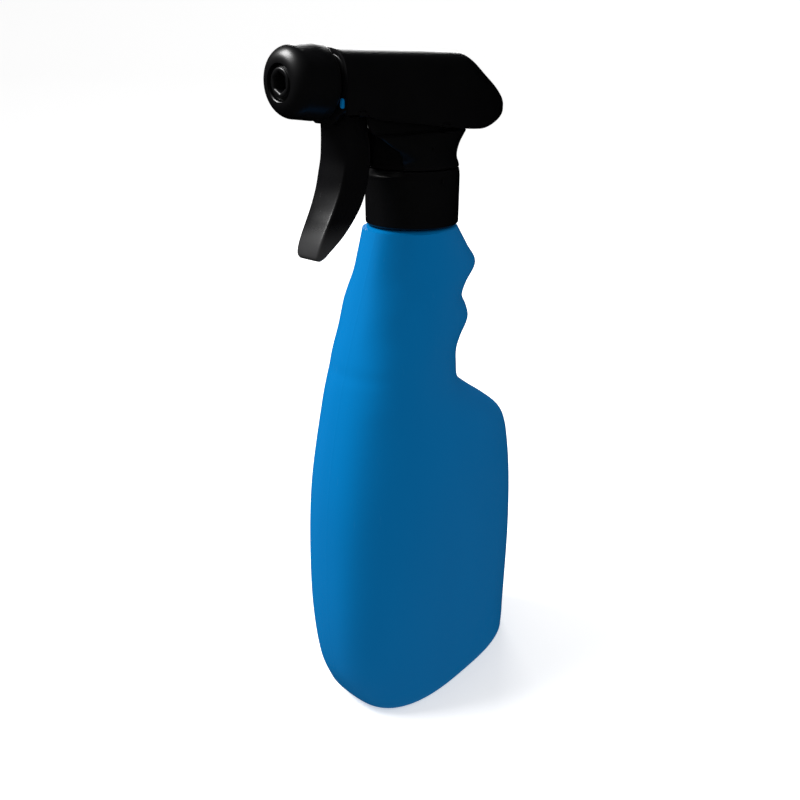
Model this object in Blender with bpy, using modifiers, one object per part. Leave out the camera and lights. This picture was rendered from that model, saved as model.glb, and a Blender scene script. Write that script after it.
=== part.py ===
"""Trigger spray bottle of about 750 ml, standing upright.

+Z is up and the base stands on z = 0. The neck's axis is the line x = 0, y = 0.
The nozzle sprays towards -X, and the bottle is symmetric about y = 0.
"""

import math

import bmesh
import bpy
from mathutils import Vector

MM = 0.001
GAP = 0.3                    # clearance between neighbouring pieces, mm
ROUND_STEPS = 32             # facets round a large turned piece
SMALL_STEPS = 20             # facets round a small turned piece

# ---- driving dimensions, all in millimetres --------------------------------

BOTTLE_WALL = 1.1
SHOULDER_Z = 208.5
NECK_RADIUS = 12.7
NECK_TOP_Z = 224.6
THREAD_PITCH = 4.2
THREAD_TURNS = 1.5
BOTTLE_THREAD_CREST = 13.7
THREAD_START_Z = 214.4       # middle of the ridge where it starts

COLLAR_RADIUS = 17.5
COLLAR_BOTTOM_Z = 210.0
COLLAR_TOP_Z = 230.0
COLLAR_BORE = 14.4
COLLAR_LIP_BORE = 11.6
COLLAR_LIP_Z = 228.2
COLLAR_THREAD_CREST = 14.0
COLLAR_EDGE = 1.2            # rounding of the closure's two outer edges

FLANGE_RADIUS = 13.6
FLANGE_BOTTOM_Z = 226.4
FLANGE_TOP_Z = 227.9
RISER_RADIUS = 4.6
RISER_TOP_Z = 264.8
TUBE_SOCKET_BORE = 3.0
TUBE_SOCKET_TOP_Z = 243.2
FLOW_BORE = 1.4
OUTLET_CHAMBER_BORE = 2.4
OUTLET_SEAT_Z = 251.5

NOZZLE_Z = 258.85            # height of the discharge barrel's axis
BARREL_RADIUS = 3.7
BARREL_BORE = 1.9
BARREL_FRONT_X = -50.0
PUMP_Z = 248.6               # height of the pump cylinder's axis
PUMP_RADIUS = 6.2
PUMP_BORE = 5.0
PUMP_MOUTH_X = -19.5
PUMP_END_X = -4.5
PIVOT_X = -33.5
PIVOT_Z = 264.0
PIN_RADIUS = 1.2
PIN_HOLE = 1.5

SHROUD_WALL = 1.2
SHROUD_FRONT_X = -43.0
SHROUD_TOP_Z = 268.8

TRIGGER_HALF_WIDTH = 6.9
TRIGGER_WALL = 1.6
TRIGGER_ARM_INSIDE = 5.7     # half the gap between the trigger's two arms
TRIGGER_PAD_X = -29.3        # rear face of the pad that pushes the piston
TRIGGER_PAD_LOW_Z = 245.0
TRIGGER_PAD_TOP_Z = 252.0

KNOB_RADIUS = 11.2
KNOB_FRONT_RADIUS = 10.5
KNOB_FRONT_X = -59.8
KNOB_REAR_X = -44.3
INSERT_RADIUS = 4.9


# ---- small tools ------------------------------------------------------------


def clear_scene():
    for item in list(bpy.data.objects):
        bpy.data.objects.remove(item, do_unlink=True)


def collection(name):
    group = bpy.data.collections.get(name) or bpy.data.collections.new(name)
    if group.name not in bpy.context.scene.collection.children:
        bpy.context.scene.collection.children.link(group)
    return group


def plastic(name, colour, roughness, metallic=0.0):
    material = bpy.data.materials.new(name)
    material.use_nodes = True
    shader = material.node_tree.nodes["Principled BSDF"]
    shader.inputs["Base Color"].default_value = (*colour, 1.0)
    shader.inputs["Roughness"].default_value = roughness
    shader.inputs["Metallic"].default_value = metallic
    return material


def add_object(name, mesh, material, group):
    item = bpy.data.objects.new(name, mesh)
    group.objects.link(item)
    if material:
        mesh.materials.append(material)
    return item


def mesh_from(name, points, faces, edges=()):
    mesh = bpy.data.meshes.new(name)
    mesh.from_pydata([tuple(c * MM for c in point) for point in points], list(edges), faces)
    mesh.update()
    return mesh


def smooth(mesh, angle=35.0):
    mesh.shade_smooth()
    mesh.set_sharp_from_angle(angle=math.radians(angle))


def make_cutter(item):
    item.hide_render = True
    item.display_type = "WIRE"
    return item


def combine(target, tool, operation):
    """Join or cut target with tool, which becomes a hidden wire object."""
    boolean = target.modifiers.new(f"{operation.lower()} {tool.name}", "BOOLEAN")
    boolean.operation = operation
    boolean.solver = "EXACT"
    boolean.object = make_cutter(tool)


def eased(points, at):
    """Read a smooth curve through (position, value) points at one position."""
    if at <= points[0][0]:
        return points[0][1]
    for index in range(len(points) - 1):
        (x0, y0), (x1, y1) = points[index], points[index + 1]
        if at <= x1:
            break
    else:
        return points[-1][1]
    before = points[max(index - 1, 0)]
    after = points[min(index + 2, len(points) - 1)]
    slope0 = (y1 - before[1]) / (x1 - before[0])
    slope1 = (after[1] - y0) / (after[0] - x0)
    span = x1 - x0
    t = (at - x0) / span
    start = (1 + 2 * t) * (1 - t) ** 2 * y0 + t * (1 - t) ** 2 * span * slope0
    end = t * t * (3 - 2 * t) * y1 + t * t * (t - 1) * span * slope1
    return start + end


def rounded_ring(x_front, x_back, half_width, exponent, z, count):
    """One level of a loft: a rounded rectangle between an ellipse and a box."""
    middle = (x_front + x_back) / 2
    half_length = (x_back - x_front) / 2
    ring = []
    for index in range(count):
        angle = 2 * math.pi * index / count
        across, along = math.cos(angle), math.sin(angle)
        x = middle + half_length * math.copysign(abs(across) ** (2 / exponent), across)
        y = half_width * math.copysign(abs(along) ** (2 / exponent), along)
        ring.append((x, y, z))
    return ring


def loft(rings, closed=True, cap_start=False, cap_end=False):
    """Points and outward faces of a skin over rings that run upwards (or along)."""
    count = len(rings[0])
    points = [point for ring in rings for point in ring]
    faces = []
    spans = count if closed else count - 1
    for level in range(len(rings) - 1):
        low, high = level * count, (level + 1) * count
        for index in range(spans):
            following = (index + 1) % count
            faces.append((low + index, low + following, high + following, high + index))
    if cap_start:
        faces.append(tuple(reversed(range(count))))
    if cap_end:
        faces.append(tuple(range(len(points) - count, len(points))))
    return points, faces


def turned(name, profile, material, group, steps=SMALL_STEPS, closed=True):
    """A turned piece about Z. The profile's (radius, z) points run down the outside."""
    count = len(profile)
    edges = [(index, index + 1) for index in range(count - 1)]
    if closed:
        edges.append((count - 1, 0))
    mesh = mesh_from(name, [(radius, 0.0, z) for radius, z in profile], [], edges)
    item = add_object(name, mesh, material, group)
    screw = item.modifiers.new("turn", "SCREW")
    screw.steps = steps
    screw.render_steps = steps
    screw.use_merge_vertices = True
    screw.merge_threshold = 0.00001
    screw.use_smooth_shade = True
    return item


def laid_forward(item, x, z):
    """Lay a piece turned about Z so that its own +Z points along -X."""
    item.location = (x * MM, 0.0, z * MM)
    item.rotation_euler = (0.0, -math.pi / 2, 0.0)
    return item


def rod(name, start, end, radius, material, group, steps=SMALL_STEPS):
    """A plain cylinder between two points."""
    start, end = Vector(start) * MM, Vector(end) * MM
    bpy.ops.mesh.primitive_cylinder_add(
        vertices=steps,
        radius=radius * MM,
        depth=(end - start).length,
        location=(start + end) / 2,
        rotation=(end - start).to_track_quat("Z", "Y").to_euler(),
    )
    item = bpy.context.object
    item.name = name
    move_to(item, group, material)
    return item


def block(name, low, high, material, group):
    """A plain box between two corners."""
    bpy.ops.mesh.primitive_cube_add(size=1.0)
    item = bpy.context.object
    item.name = name
    for vertex in item.data.vertices:
        for axis in range(3):
            middle = (low[axis] + high[axis]) / 2
            vertex.co[axis] = (middle + vertex.co[axis] * (high[axis] - low[axis])) * MM
    move_to(item, group, material)
    return item


def move_to(item, group, material):
    for owner in list(item.users_collection):
        owner.objects.unlink(item)
    group.objects.link(item)
    if material:
        item.data.materials.append(material)


def extruded(name, outline, half_width, material, group):
    """A flat (x, z) outline, run anticlockwise seen from -Y, extruded across the bottle."""
    count = len(outline)
    near = [(x, -half_width, z) for x, z in outline]
    far = [(x, half_width, z) for x, z in outline]
    faces = [tuple(range(count)), tuple(reversed(range(count, 2 * count)))]
    for index in range(count):
        following = (index + 1) % count
        faces.append((index, count + index, count + following, following))
    return add_object(name, mesh_from(name, near + far, faces), material, group)


def helix_ridge(name, root, crest, start_z, turns, material, group):
    """A screw thread's ridge: a tapered section carried round a helix, ends run out."""
    base, tip, per_turn = 1.9, 0.7, 24
    stations = int(per_turn * turns)
    rings = []
    for station in range(stations + 1):
        angle = 2 * math.pi * (station + 0.37) / per_turn
        fade = min(1.0, 6 * station / stations, 6 * (stations - station) / stations)
        top = root + (crest - root) * max(fade, 0.05)
        z = start_z + THREAD_PITCH * station / per_turn
        section = [(root, z - base / 2), (top, z - tip / 2), (top, z + tip / 2), (root, z + base / 2)]
        ring = [(radius * math.cos(angle), radius * math.sin(angle), level) for radius, level in section]
        rings.append(ring if crest > root else ring[::-1])
    points, faces = loft(rings, cap_start=True, cap_end=True)
    return add_object(name, mesh_from(name, points, [face[::-1] for face in faces]), material, group)


def coil(name, start, end, radius, wire, turns, material, group):
    """A wire spring as a round-wire curve, made into a closed mesh."""
    start, end = Vector(start), Vector(end)
    axis = (end - start).normalized()
    side = axis.orthogonal().normalized()
    other = axis.cross(side)
    per_turn = 12
    count = int(turns * per_turn)
    curve = bpy.data.curves.new(name, "CURVE")
    curve.dimensions = "3D"
    curve.bevel_depth = wire / 2 * MM
    curve.bevel_resolution = 2
    curve.use_fill_caps = True
    spline = curve.splines.new("POLY")
    spline.points.add(count)
    for index in range(count + 1):
        angle = 2 * math.pi * index / per_turn
        along = start.lerp(end, index / count)
        place = along + (side * math.cos(angle) + other * math.sin(angle)) * radius
        spline.points[index].co = (*(place * MM), 1.0)
    item = bpy.data.objects.new(name, curve)
    group.objects.link(item)
    return curve_to_mesh(item, material, group)


def curve_to_mesh(item, material, group):
    name, place = item.name, item.matrix_world.copy()
    bpy.context.view_layer.update()
    evaluated = item.evaluated_get(bpy.context.evaluated_depsgraph_get())
    mesh = bpy.data.meshes.new_from_object(evaluated)
    bpy.data.objects.remove(item, do_unlink=True)
    shape = bmesh.new()
    shape.from_mesh(mesh)
    bmesh.ops.remove_doubles(shape, verts=shape.verts, dist=0.000001)
    bmesh.ops.recalc_face_normals(shape, faces=shape.faces)
    shape.to_mesh(mesh)
    shape.free()
    mesh.materials.clear()
    made = add_object(name, mesh, material, group)
    made.matrix_world = place
    smooth(mesh)
    return made


def ball(name, centre, radius, material, group):
    bpy.ops.mesh.primitive_uv_sphere_add(segments=16, ring_count=8, radius=radius * MM)
    item = bpy.context.object
    item.name = name
    item.location = Vector(centre) * MM
    smooth(item.data)
    move_to(item, group, material)
    return item


# ---- the bottle --------------------------------------------------------------

# height -> front face, back face and half-width of the body
BOTTLE_FRONT = [
    (0, -36.4), (4, -39.5), (10, -43.1), (25, -48.2), (50, -50.7), (80, -50.2), (110, -47.7),
    (140, -42.0), (165, -35.0), (190, -26.0), (SHOULDER_Z, -19.3),
]
BOTTLE_BACK = [
    (0, 57.0), (4, 57.8), (10, 59.1), (30, 60.2), (60, 59.4), (90, 56.8), (108, 53.9),
    (118, 51.4), (124, 47.8), (131, 39.1), (140, 26.2), (147, 18.0), (155, 16.7), (161, 16.8),
    (166, 19.4), (172, 24.2), (177, 22.6), (182, 19.6), (187, 22.8), (193, 29.6), (200, 24.4),
    (SHOULDER_Z, 17.4),
]
BOTTLE_HALF_WIDTH = [
    (0, 26.4), (4, 26.7), (10, 26.9), (45, 27.4), (90, 28.0), (120, 26.7), (150, 21.6),
    (180, 20.7), (SHOULDER_Z, 17.5),
]
BOTTLE_SQUARENESS = [(0, 2.8), (15, 2.55), (60, 2.6), (120, 2.5), (160, 2.3), (SHOULDER_Z, 2.05)]
BOTTLE_LEVELS = [
    0, 1.2, 4, 9, 16, 30, 55, 80, 100, 112, 120, 126, 131, 136, 141, 146, 151, 157, 163,
    168, 172, 177, 182, 187, 190.5, 193.5, 198, 203, SHOULDER_Z,
]


def bottle(material, group, cutters):
    count = 32
    rings = []
    for z in BOTTLE_LEVELS:
        front, back = eased(BOTTLE_FRONT, z), eased(BOTTLE_BACK, z)
        half_width = eased(BOTTLE_HALF_WIDTH, z)
        rings.append(rounded_ring(front, back, half_width, eased(BOTTLE_SQUARENESS, z), z, count))
    for z, radius in ((SHOULDER_Z + 1.0, 15.6), (SHOULDER_Z + 1.2, NECK_RADIUS), (NECK_TOP_Z, NECK_RADIUS)):
        rings.append(rounded_ring(-radius, radius, radius, 2.0, z, count))
    points, faces = loft(rings, cap_start=True)
    item = add_object("bottle", mesh_from("bottle", points, faces), material, group)
    wall = item.modifiers.new("wall", "SOLIDIFY")
    wall.thickness = BOTTLE_WALL * MM
    wall.offset = -1.0
    wall.use_even_offset = True
    thread = helix_ridge(
        "bottle thread", NECK_RADIUS - 0.4, BOTTLE_THREAD_CREST, THREAD_START_Z, THREAD_TURNS, material, cutters
    )
    combine(item, thread, "UNION")
    smooth(item.data)
    return item


def neck_gasket(material, group):
    low, high = NECK_TOP_Z + GAP, FLANGE_BOTTOM_Z - GAP
    profile = [(13.4, high), (13.4, low), (NECK_RADIUS - BOTTLE_WALL, low), (NECK_RADIUS - BOTTLE_WALL, high)]
    return turned("neck_gasket", profile, material, group, ROUND_STEPS)


def collar(material, group, cutters):
    outside, edge = COLLAR_RADIUS, COLLAR_EDGE
    profile = [
        (COLLAR_LIP_BORE, COLLAR_TOP_Z), (outside - edge, COLLAR_TOP_Z),
        (outside - 0.25 * edge, COLLAR_TOP_Z - 0.25 * edge), (outside, COLLAR_TOP_Z - edge),
        (outside, COLLAR_BOTTOM_Z + edge), (outside - 0.25 * edge, COLLAR_BOTTOM_Z + 0.25 * edge),
        (outside - edge, COLLAR_BOTTOM_Z), (COLLAR_BORE, COLLAR_BOTTOM_Z),
        (COLLAR_BORE, COLLAR_LIP_Z), (COLLAR_LIP_BORE, COLLAR_LIP_Z),
    ]
    item = turned("collar", profile, material, group, ROUND_STEPS)
    thread = helix_ridge(
        "collar thread", COLLAR_BORE + 0.4, COLLAR_THREAD_CREST, THREAD_START_Z + THREAD_PITCH / 2,
        THREAD_TURNS, material, cutters,
    )
    combine(item, thread, "UNION")
    return item


# ---- the pump ----------------------------------------------------------------


def riser_profile():
    return [
        (RISER_RADIUS, RISER_TOP_Z), (RISER_RADIUS, 232.4), (10.0, 232.4), (10.0, 230.7),
        (11.3, 230.7), (11.3, FLANGE_TOP_Z), (FLANGE_RADIUS, FLANGE_TOP_Z),
        (FLANGE_RADIUS, FLANGE_BOTTOM_Z), (5.2, FLANGE_BOTTOM_Z), (5.2, 214.0),
        (TUBE_SOCKET_BORE, 214.0), (TUBE_SOCKET_BORE, TUBE_SOCKET_TOP_Z),
        (FLOW_BORE, TUBE_SOCKET_TOP_Z), (FLOW_BORE, OUTLET_SEAT_Z),
        (OUTLET_CHAMBER_BORE, OUTLET_SEAT_Z), (OUTLET_CHAMBER_BORE, RISER_TOP_Z),
    ]


def neck_cup(material, group):
    """The pump body's own neck: a cup inside the cover, round below, narrower above."""
    rings = [
        rounded_ring(-15.7, 15.7, 15.7, 2.0, 230.3, ROUND_STEPS),
        rounded_ring(-15.0, 15.0, 15.0, 2.0, 232.2, ROUND_STEPS),
        rounded_ring(-15.1, 15.0, 14.2, 2.1, 234.0, ROUND_STEPS),
        rounded_ring(-15.3, 15.1, 12.6, 2.3, 238.0, ROUND_STEPS),
        rounded_ring(-15.6, 16.6, 10.2, 2.6, 242.6, ROUND_STEPS),
    ]
    points, faces = loft(rings, cap_start=True)
    item = add_object("neck cup", mesh_from("neck cup", points, faces), material, group)
    wall = item.modifiers.new("wall", "SOLIDIFY")
    wall.thickness = 1.3 * MM
    wall.offset = -1.0
    return item


def pump_body(material, group, cutters):
    item = turned("pump_body", riser_profile(), material, group, ROUND_STEPS)
    cup = neck_cup(material, cutters)
    combine(cup, rod("cup bore", (0, 0, 229), (0, 0, 233), 9.0, None, cutters, ROUND_STEPS), "DIFFERENCE")
    added = [
        cup,
        rod("pump cylinder", (PUMP_MOUTH_X, 0, PUMP_Z), (-2.0, 0, PUMP_Z), PUMP_RADIUS, None, cutters),
        rod("barrel", (BARREL_FRONT_X, 0, NOZZLE_Z), (-3.3, 0, NOZZLE_Z), BARREL_RADIUS, None, cutters),
        block("web", (PUMP_MOUTH_X + 1, -1.0, PUMP_Z + 5.6), (-3.0, 1.0, NOZZLE_Z - 3), None, cutters),
        block("front foot", (-17.0, -1.0, 240.0), (-14.6, 1.0, PUMP_Z - 5.6), None, cutters),
        rod("pivot boss", (PIVOT_X, -5.4, PIVOT_Z), (PIVOT_X, 5.4, PIVOT_Z), 2.5, None, cutters),
        block("boss web", (PIVOT_X - 2.2, -2.6, NOZZLE_Z), (PIVOT_X + 2.2, 2.6, PIVOT_Z), None, cutters),
    ]
    for shape in added:
        combine(item, shape, "UNION")
    removed = [
        rod("pump bore", (PUMP_MOUTH_X - 1, 0, PUMP_Z), (PUMP_END_X, 0, PUMP_Z), PUMP_BORE, None, cutters),
        rod("port", (PUMP_END_X - 1, 0, PUMP_Z), (0, 0, PUMP_Z), 1.0, None, cutters, 12),
        rod("barrel bore", (BARREL_FRONT_X - 1, 0, NOZZLE_Z), (-0.7, 0, NOZZLE_Z), BARREL_BORE, None, cutters, 18),
        rod("pin hole", (PIVOT_X, -9, PIVOT_Z), (PIVOT_X, 9, PIVOT_Z), PIN_HOLE, None, cutters, 16),
    ]
    for shape in removed:
        combine(item, shape, "DIFFERENCE")
    return item


def dip_tube(material, group):
    profile = [(2.65, 236.2), (2.65, 10.0), (1.9, 10.0), (1.9, 236.2)]
    return turned("dip_tube", profile, material, group)


def inlet_seat(material, group):
    profile = [(2.3, 238.8), (2.7, 238.4), (2.7, 236.6), (1.2, 236.6), (1.2, 238.2), (1.6, 238.8)]
    return turned("inlet_seat", profile, material, group)


def inlet_ball(material, group):
    return ball("inlet_ball", (0, 0, 240.1), 1.9, material, group)


def outlet_ball(material, group):
    return ball("outlet_ball", (0, 0, 252.8), 1.7, material, group)


def outlet_spring(material, group):
    return coil("outlet_spring", (0, 0, 255.1), (0, 0, 260.2), 1.5, 0.4, 4, material, group)


def chamber_plug(material, group):
    low, collar_z, top = 260.8, RISER_TOP_Z + GAP, RISER_TOP_Z + 1.4
    bore = OUTLET_CHAMBER_BORE - GAP
    profile = [(0.0, top), (3.8, top), (4.2, top - 0.4), (4.2, collar_z), (bore, collar_z), (bore, low), (0.0, low)]
    return turned("chamber_plug", profile, material, group, closed=False)


# ---- piston, its seals and spring ----------------------------------------------

PISTON_REAR_X = -13.0
PISTON_NOSE_X = TRIGGER_PAD_X + GAP


def piston(material, group):
    """Turned about the pump's axis; heights are measured forwards from its rear end."""
    length = PISTON_REAR_X - PISTON_NOSE_X
    dome = 4.2
    arc = []
    for index in range(6):
        angle = math.radians(90 - 14 * index)
        arc.append((dome * math.cos(angle), length - dome + dome * math.sin(angle)))
    profile = arc + [
        (dome, length - dome - 0.6), (dome, 5.8), (4.6, 5.8), (4.6, 4.9), (3.9, 4.9), (3.9, 3.7),
        (4.6, 3.7), (4.6, 2.1), (3.9, 2.1), (3.9, 0.9), (4.6, 0.9), (4.6, 0.0),
        (3.2, 0.0), (3.2, 11.0), (0.0, 11.0),
    ]
    item = turned("piston", profile, material, group, closed=False)
    return laid_forward(item, PISTON_REAR_X, PUMP_Z)


def piston_seal(name, low, material, group):
    """A lipped ring in one of the piston's two grooves."""
    profile = [(4.7, low + 0.75), (4.7, low), (4.2, low), (4.2, low + 0.6)]
    item = turned(name, profile, material, group)
    return laid_forward(item, PISTON_REAR_X, PUMP_Z)


def return_spring(material, group):
    start, end = (PISTON_REAR_X - 10.4, 0, PUMP_Z), (PUMP_END_X - 0.8, 0, PUMP_Z)
    return coil("return_spring", start, end, 2.45, 0.8, 6, material, group)


# ---- trigger -------------------------------------------------------------------

# (x, z) down the front face, round the tip and back up the rear edge
TRIGGER_FRONT = [
    (-38.6, TRIGGER_PAD_TOP_Z), (-38.6, 243.0), (-39.3, 235.5), (-40.6, 230.8), (-42.2, 226.0),
    (-44.8, 220.6), (-47.6, 215.8), (-50.9, 210.1), (-52.2, 207.2),
]
TRIGGER_TIP = [(-52.5, 205.2), (-51.5, 204.0), (-49.9, 204.1)]
TRIGGER_REAR = [
    (-44.9, 207.8), (-39.6, 211.8), (-35.2, 216.4), (-31.9, 221.0), (-30.1, 225.2), (-28.9, 230.0),
    (-28.1, 235.6), (-28.0, 241.0), (TRIGGER_PAD_X, TRIGGER_PAD_LOW_Z), (TRIGGER_PAD_X, TRIGGER_PAD_TOP_Z),
]


# height -> half-width, narrower towards the tip
TRIGGER_SIDE = [(204, 5.7), (210, 5.9), (220, 6.3), (230, 6.8), (238, TRIGGER_HALF_WIDTH)]


def pivot_arc(radius, start, stop, count):
    return [
        (
            PIVOT_X + radius * math.cos(math.radians(start + (stop - start) * index / (count - 1))),
            PIVOT_Z + radius * math.sin(math.radians(start + (stop - start) * index / (count - 1))),
        )
        for index in range(count)
    ]


def narrow_to_tip(item, wall):
    """Bring the sides in towards the trigger's tip, keeping the wall's thickness."""
    for vertex in item.data.vertices:
        outside = eased(TRIGGER_SIDE, vertex.co.z / MM)
        vertex.co.y = math.copysign((outside - wall) * MM, vertex.co.y)


def trigger(material, group, cutters):
    outline = TRIGGER_FRONT + TRIGGER_TIP + TRIGGER_REAR + pivot_arc(2.7, 0, 180, 7)
    item = extruded("trigger", outline, TRIGGER_HALF_WIDTH, material, group)
    narrow_to_tip(item, 0.0)
    front = [(x + 2.0, z) for x, z in TRIGGER_FRONT[1:-1]]
    front[0] = (front[0][0], TRIGGER_PAD_LOW_Z)
    rear = [(x + 6.0, z) for x, z in TRIGGER_REAR[1:-2]]
    rear[-1] = (rear[-1][0], TRIGGER_PAD_LOW_Z)
    pocket = extruded("trigger pocket", front + rear, TRIGGER_HALF_WIDTH, None, cutters)
    narrow_to_tip(pocket, TRIGGER_WALL)
    slot = block(
        "arm slot", (-45, -TRIGGER_ARM_INSIDE, TRIGGER_PAD_TOP_Z), (-25, TRIGGER_ARM_INSIDE, 270), None, cutters
    )
    hole = rod("arm hole", (PIVOT_X, -9, PIVOT_Z), (PIVOT_X, 9, PIVOT_Z), PIN_HOLE, None, cutters, 16)
    for shape in (pocket, slot, hole):
        combine(item, shape, "DIFFERENCE")
    return item


def trigger_pin(material, group):
    half = TRIGGER_HALF_WIDTH + GAP
    profile = [
        (0.0, half + 0.9), (1.9, half + 0.9), (2.1, half + 0.7), (2.1, half),
        (PIN_RADIUS, half), (PIN_RADIUS, -half - 0.6), (PIN_RADIUS - 0.3, -half - 0.9), (0.0, -half - 0.9),
    ]
    item = turned("trigger_pin", profile, material, group, closed=False)
    item.location = (PIVOT_X * MM, 0.0, PIVOT_Z * MM)
    item.rotation_euler = (math.pi / 2, 0.0, 0.0)
    return item


# ---- shroud and neck cover -----------------------------------------------------

# distance along the shroud -> top, lower edge and half-width
SHROUD_TOP = [
    (-43, SHROUD_TOP_Z), (16, SHROUD_TOP_Z), (22, 267.3), (30, 262.9), (38, 258.6), (44, 254.8), (48.4, 251.6),
    (50.4, 250.2),
]
SHROUD_LOW = [
    (-43, 249.6), (-36, 249.2), (-29, 247.7), (-9.5, 245.6), (6.6, 243.7), (24, 242.5), (32, 243.4), (39, 245.2),
    (45, 247.3), (50.4, 249.5),
]
SHROUD_HALF_WIDTH = [
    (-43, 12.2), (-20, 12.8), (10, 13.2), (25, 12.4), (36, 10.2), (43, 7.9), (48, 5.0), (50.4, 2.8),
]
SHROUD_STATIONS = [-43, -36, -24, -10, 4, 15, 20, 25, 30, 35, 40, 44, 48, 50.4]


def shroud_section(x, points):
    """An arch over the pump: straight sides and a top with well rounded corners."""
    top, low, half = (eased(table, x) for table in (SHROUD_TOP, SHROUD_LOW, SHROUD_HALF_WIDTH))
    spring_z = low + 0.35 * (top - low)
    section = [(x, half, low)]
    for index in range(points + 1):
        angle = math.pi * index / points
        y = half * math.copysign(abs(math.cos(angle)) ** (2 / 3.4), math.cos(angle))
        section.append((x, y, spring_z + (top - spring_z) * abs(math.sin(angle)) ** (2 / 3.4)))
    section.append((x, -half, low))
    return section


def shroud(material, group):
    sections = [shroud_section(x, 16) for x in SHROUD_STATIONS]
    points, faces = loft(sections, closed=False, cap_end=True)
    item = add_object("shroud", mesh_from("shroud", points, faces), material, group)
    wall = item.modifiers.new("wall", "SOLIDIFY")
    wall.thickness = SHROUD_WALL * MM
    wall.offset = -1.0
    wall.use_even_offset = True
    smooth(item.data)
    return item


def arch_outline():
    """The cut-away in front of the cover's neck: up the collar, then forwards in an arc."""
    edge = [(-14.3, 230.0), (-15.8, 233.2), (-19.5, 236.6), (-25.0, 239.6), (-29.0, 242.2), (-31.5, 244.6)]
    return [(-60, 228), (-14.2, 228)] + edge + [(-32.6, 252), (-60, 252)]


def neck_cover(material, group, cutters):
    low = COLLAR_TOP_Z + GAP
    rings = [
        rounded_ring(-17.1, 17.1, 17.1, 2.0, low, ROUND_STEPS),
        rounded_ring(-17.1, 17.1, 17.1, 2.0, low + 0.8, ROUND_STEPS),
        rounded_ring(-20.0, 16.5, 16.2, 2.1, 234.0, ROUND_STEPS),
        rounded_ring(-30.0, 18.7, 15.1, 2.5, 238.0, ROUND_STEPS),
        rounded_ring(-40.0, 21.7, 13.9, 3.0, 241.0, ROUND_STEPS),
        rounded_ring(-42.0, 23.0, 13.2, 3.2, 242.3, ROUND_STEPS),
        rounded_ring(-42.0, 22.9, 11.5, 3.2, 243.4, ROUND_STEPS),
        rounded_ring(-42.0, 22.9, 11.0, 3.2, 249.8, ROUND_STEPS),
    ]
    points, faces = loft(rings)
    item = add_object("neck_cover", mesh_from("neck_cover", points, faces), material, group)
    wall = item.modifiers.new("wall", "SOLIDIFY")
    wall.thickness = SHROUD_WALL * MM
    wall.offset = -1.0
    arch = extruded("arch cutter", arch_outline(), 25.0, None, cutters)
    combine(item, arch, "DIFFERENCE")
    smooth(item.data)
    return item


# ---- nozzle ---------------------------------------------------------------------


def forward(x):
    """Distance in front of the shroud's front edge, along the nozzle's axis."""
    return SHROUD_FRONT_X - x


def nozzle_base(material, group, cutters):
    """The plate that closes the shroud's front and carries the turning nozzle."""
    half = 10.6
    plate = [
        (4.5, 246.6), (6.0, 248.6), (half, 250.8), (half, 262.0), (half - 1.2, 265.2), (half - 4.2, 267.0), (0.0, 267.1),
    ]
    outline = plate + [(-y, z) for y, z in reversed(plate[:-1])]
    near = [(SHROUD_FRONT_X + 0.2, y, z) for y, z in outline]
    far = [(SHROUD_FRONT_X + 1.6, y, z) for y, z in outline]
    points, faces = loft([near, far], cap_start=True, cap_end=True)
    item = add_object("nozzle_base", mesh_from("nozzle_base", points, faces), material, group)
    spigot = rod("spigot", (SHROUD_FRONT_X + 1, 0, NOZZLE_Z), (-50.5, 0, NOZZLE_Z), 8.2, None, cutters, 32)
    combine(item, spigot, "UNION")
    bore = rod("spigot bore", (SHROUD_FRONT_X - 0.8, 0, NOZZLE_Z), (-52, 0, NOZZLE_Z), 7.0, None, cutters, 32)
    combine(item, bore, "DIFFERENCE")
    passage = rod("barrel passage", (-40, 0, NOZZLE_Z), (-52, 0, NOZZLE_Z), BARREL_RADIUS + GAP, None, cutters)
    combine(item, passage, "DIFFERENCE")
    return item


def nozzle_cap(material, group):
    front, rear = forward(KNOB_FRONT_X), forward(KNOB_REAR_X)
    arc = []
    edge = 5.0
    for index in range(7):
        angle = math.radians(90 - 15 * index)
        arc.append((KNOB_FRONT_RADIUS - edge + edge * math.cos(angle), front - edge + edge * math.sin(angle)))
    profile = [(5.3, front - 0.7), (5.8, front - 0.1)] + arc + [
        (KNOB_RADIUS, rear + 4.0), (KNOB_RADIUS, rear + 0.9), (KNOB_RADIUS - 0.9, rear), (9.0, rear), (9.0, front - 4.6),
        (6.7, front - 3.2), (6.7, front - 13.0), (5.3, front - 13.0),
    ]
    item = turned("nozzle_cap", profile, material, group, ROUND_STEPS)
    return laid_forward(item, SHROUD_FRONT_X, NOZZLE_Z)


def nozzle_insert(material, group, cutters):
    front, rear = forward(-59.6), forward(-54.0)
    profile = [
        (0.0, front), (INSERT_RADIUS - 0.5, front), (INSERT_RADIUS, front - 0.5), (INSERT_RADIUS, rear),
        (0.0, rear),
    ]
    item = turned("nozzle_insert", profile, material, group, closed=False)
    laid_forward(item, SHROUD_FRONT_X, NOZZLE_Z)
    recess = rod("hex recess", (-62, 0, NOZZLE_Z), (-55.4, 0, NOZZLE_Z), 2.9, None, cutters, 6)
    combine(item, recess, "DIFFERENCE")
    orifice = rod("orifice", (-60, 0, NOZZLE_Z), (-53, 0, NOZZLE_Z), 0.6, None, cutters, 12)
    combine(item, orifice, "DIFFERENCE")
    return item


def swirl_core(material, group):
    """Spinner in front of the barrel that sets the spray turning."""
    front, rear = forward(-53.6), forward(-44.5)
    profile = [
        (0.0, front), (1.4, front), (1.4, front - 1.0), (4.4, front - 1.0), (4.4, front - 2.4),
        (1.5, front - 2.4), (1.5, rear), (0.0, rear),
    ]
    return laid_forward(turned("swirl_core", profile, material, group, closed=False), SHROUD_FRONT_X, NOZZLE_Z)


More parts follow.
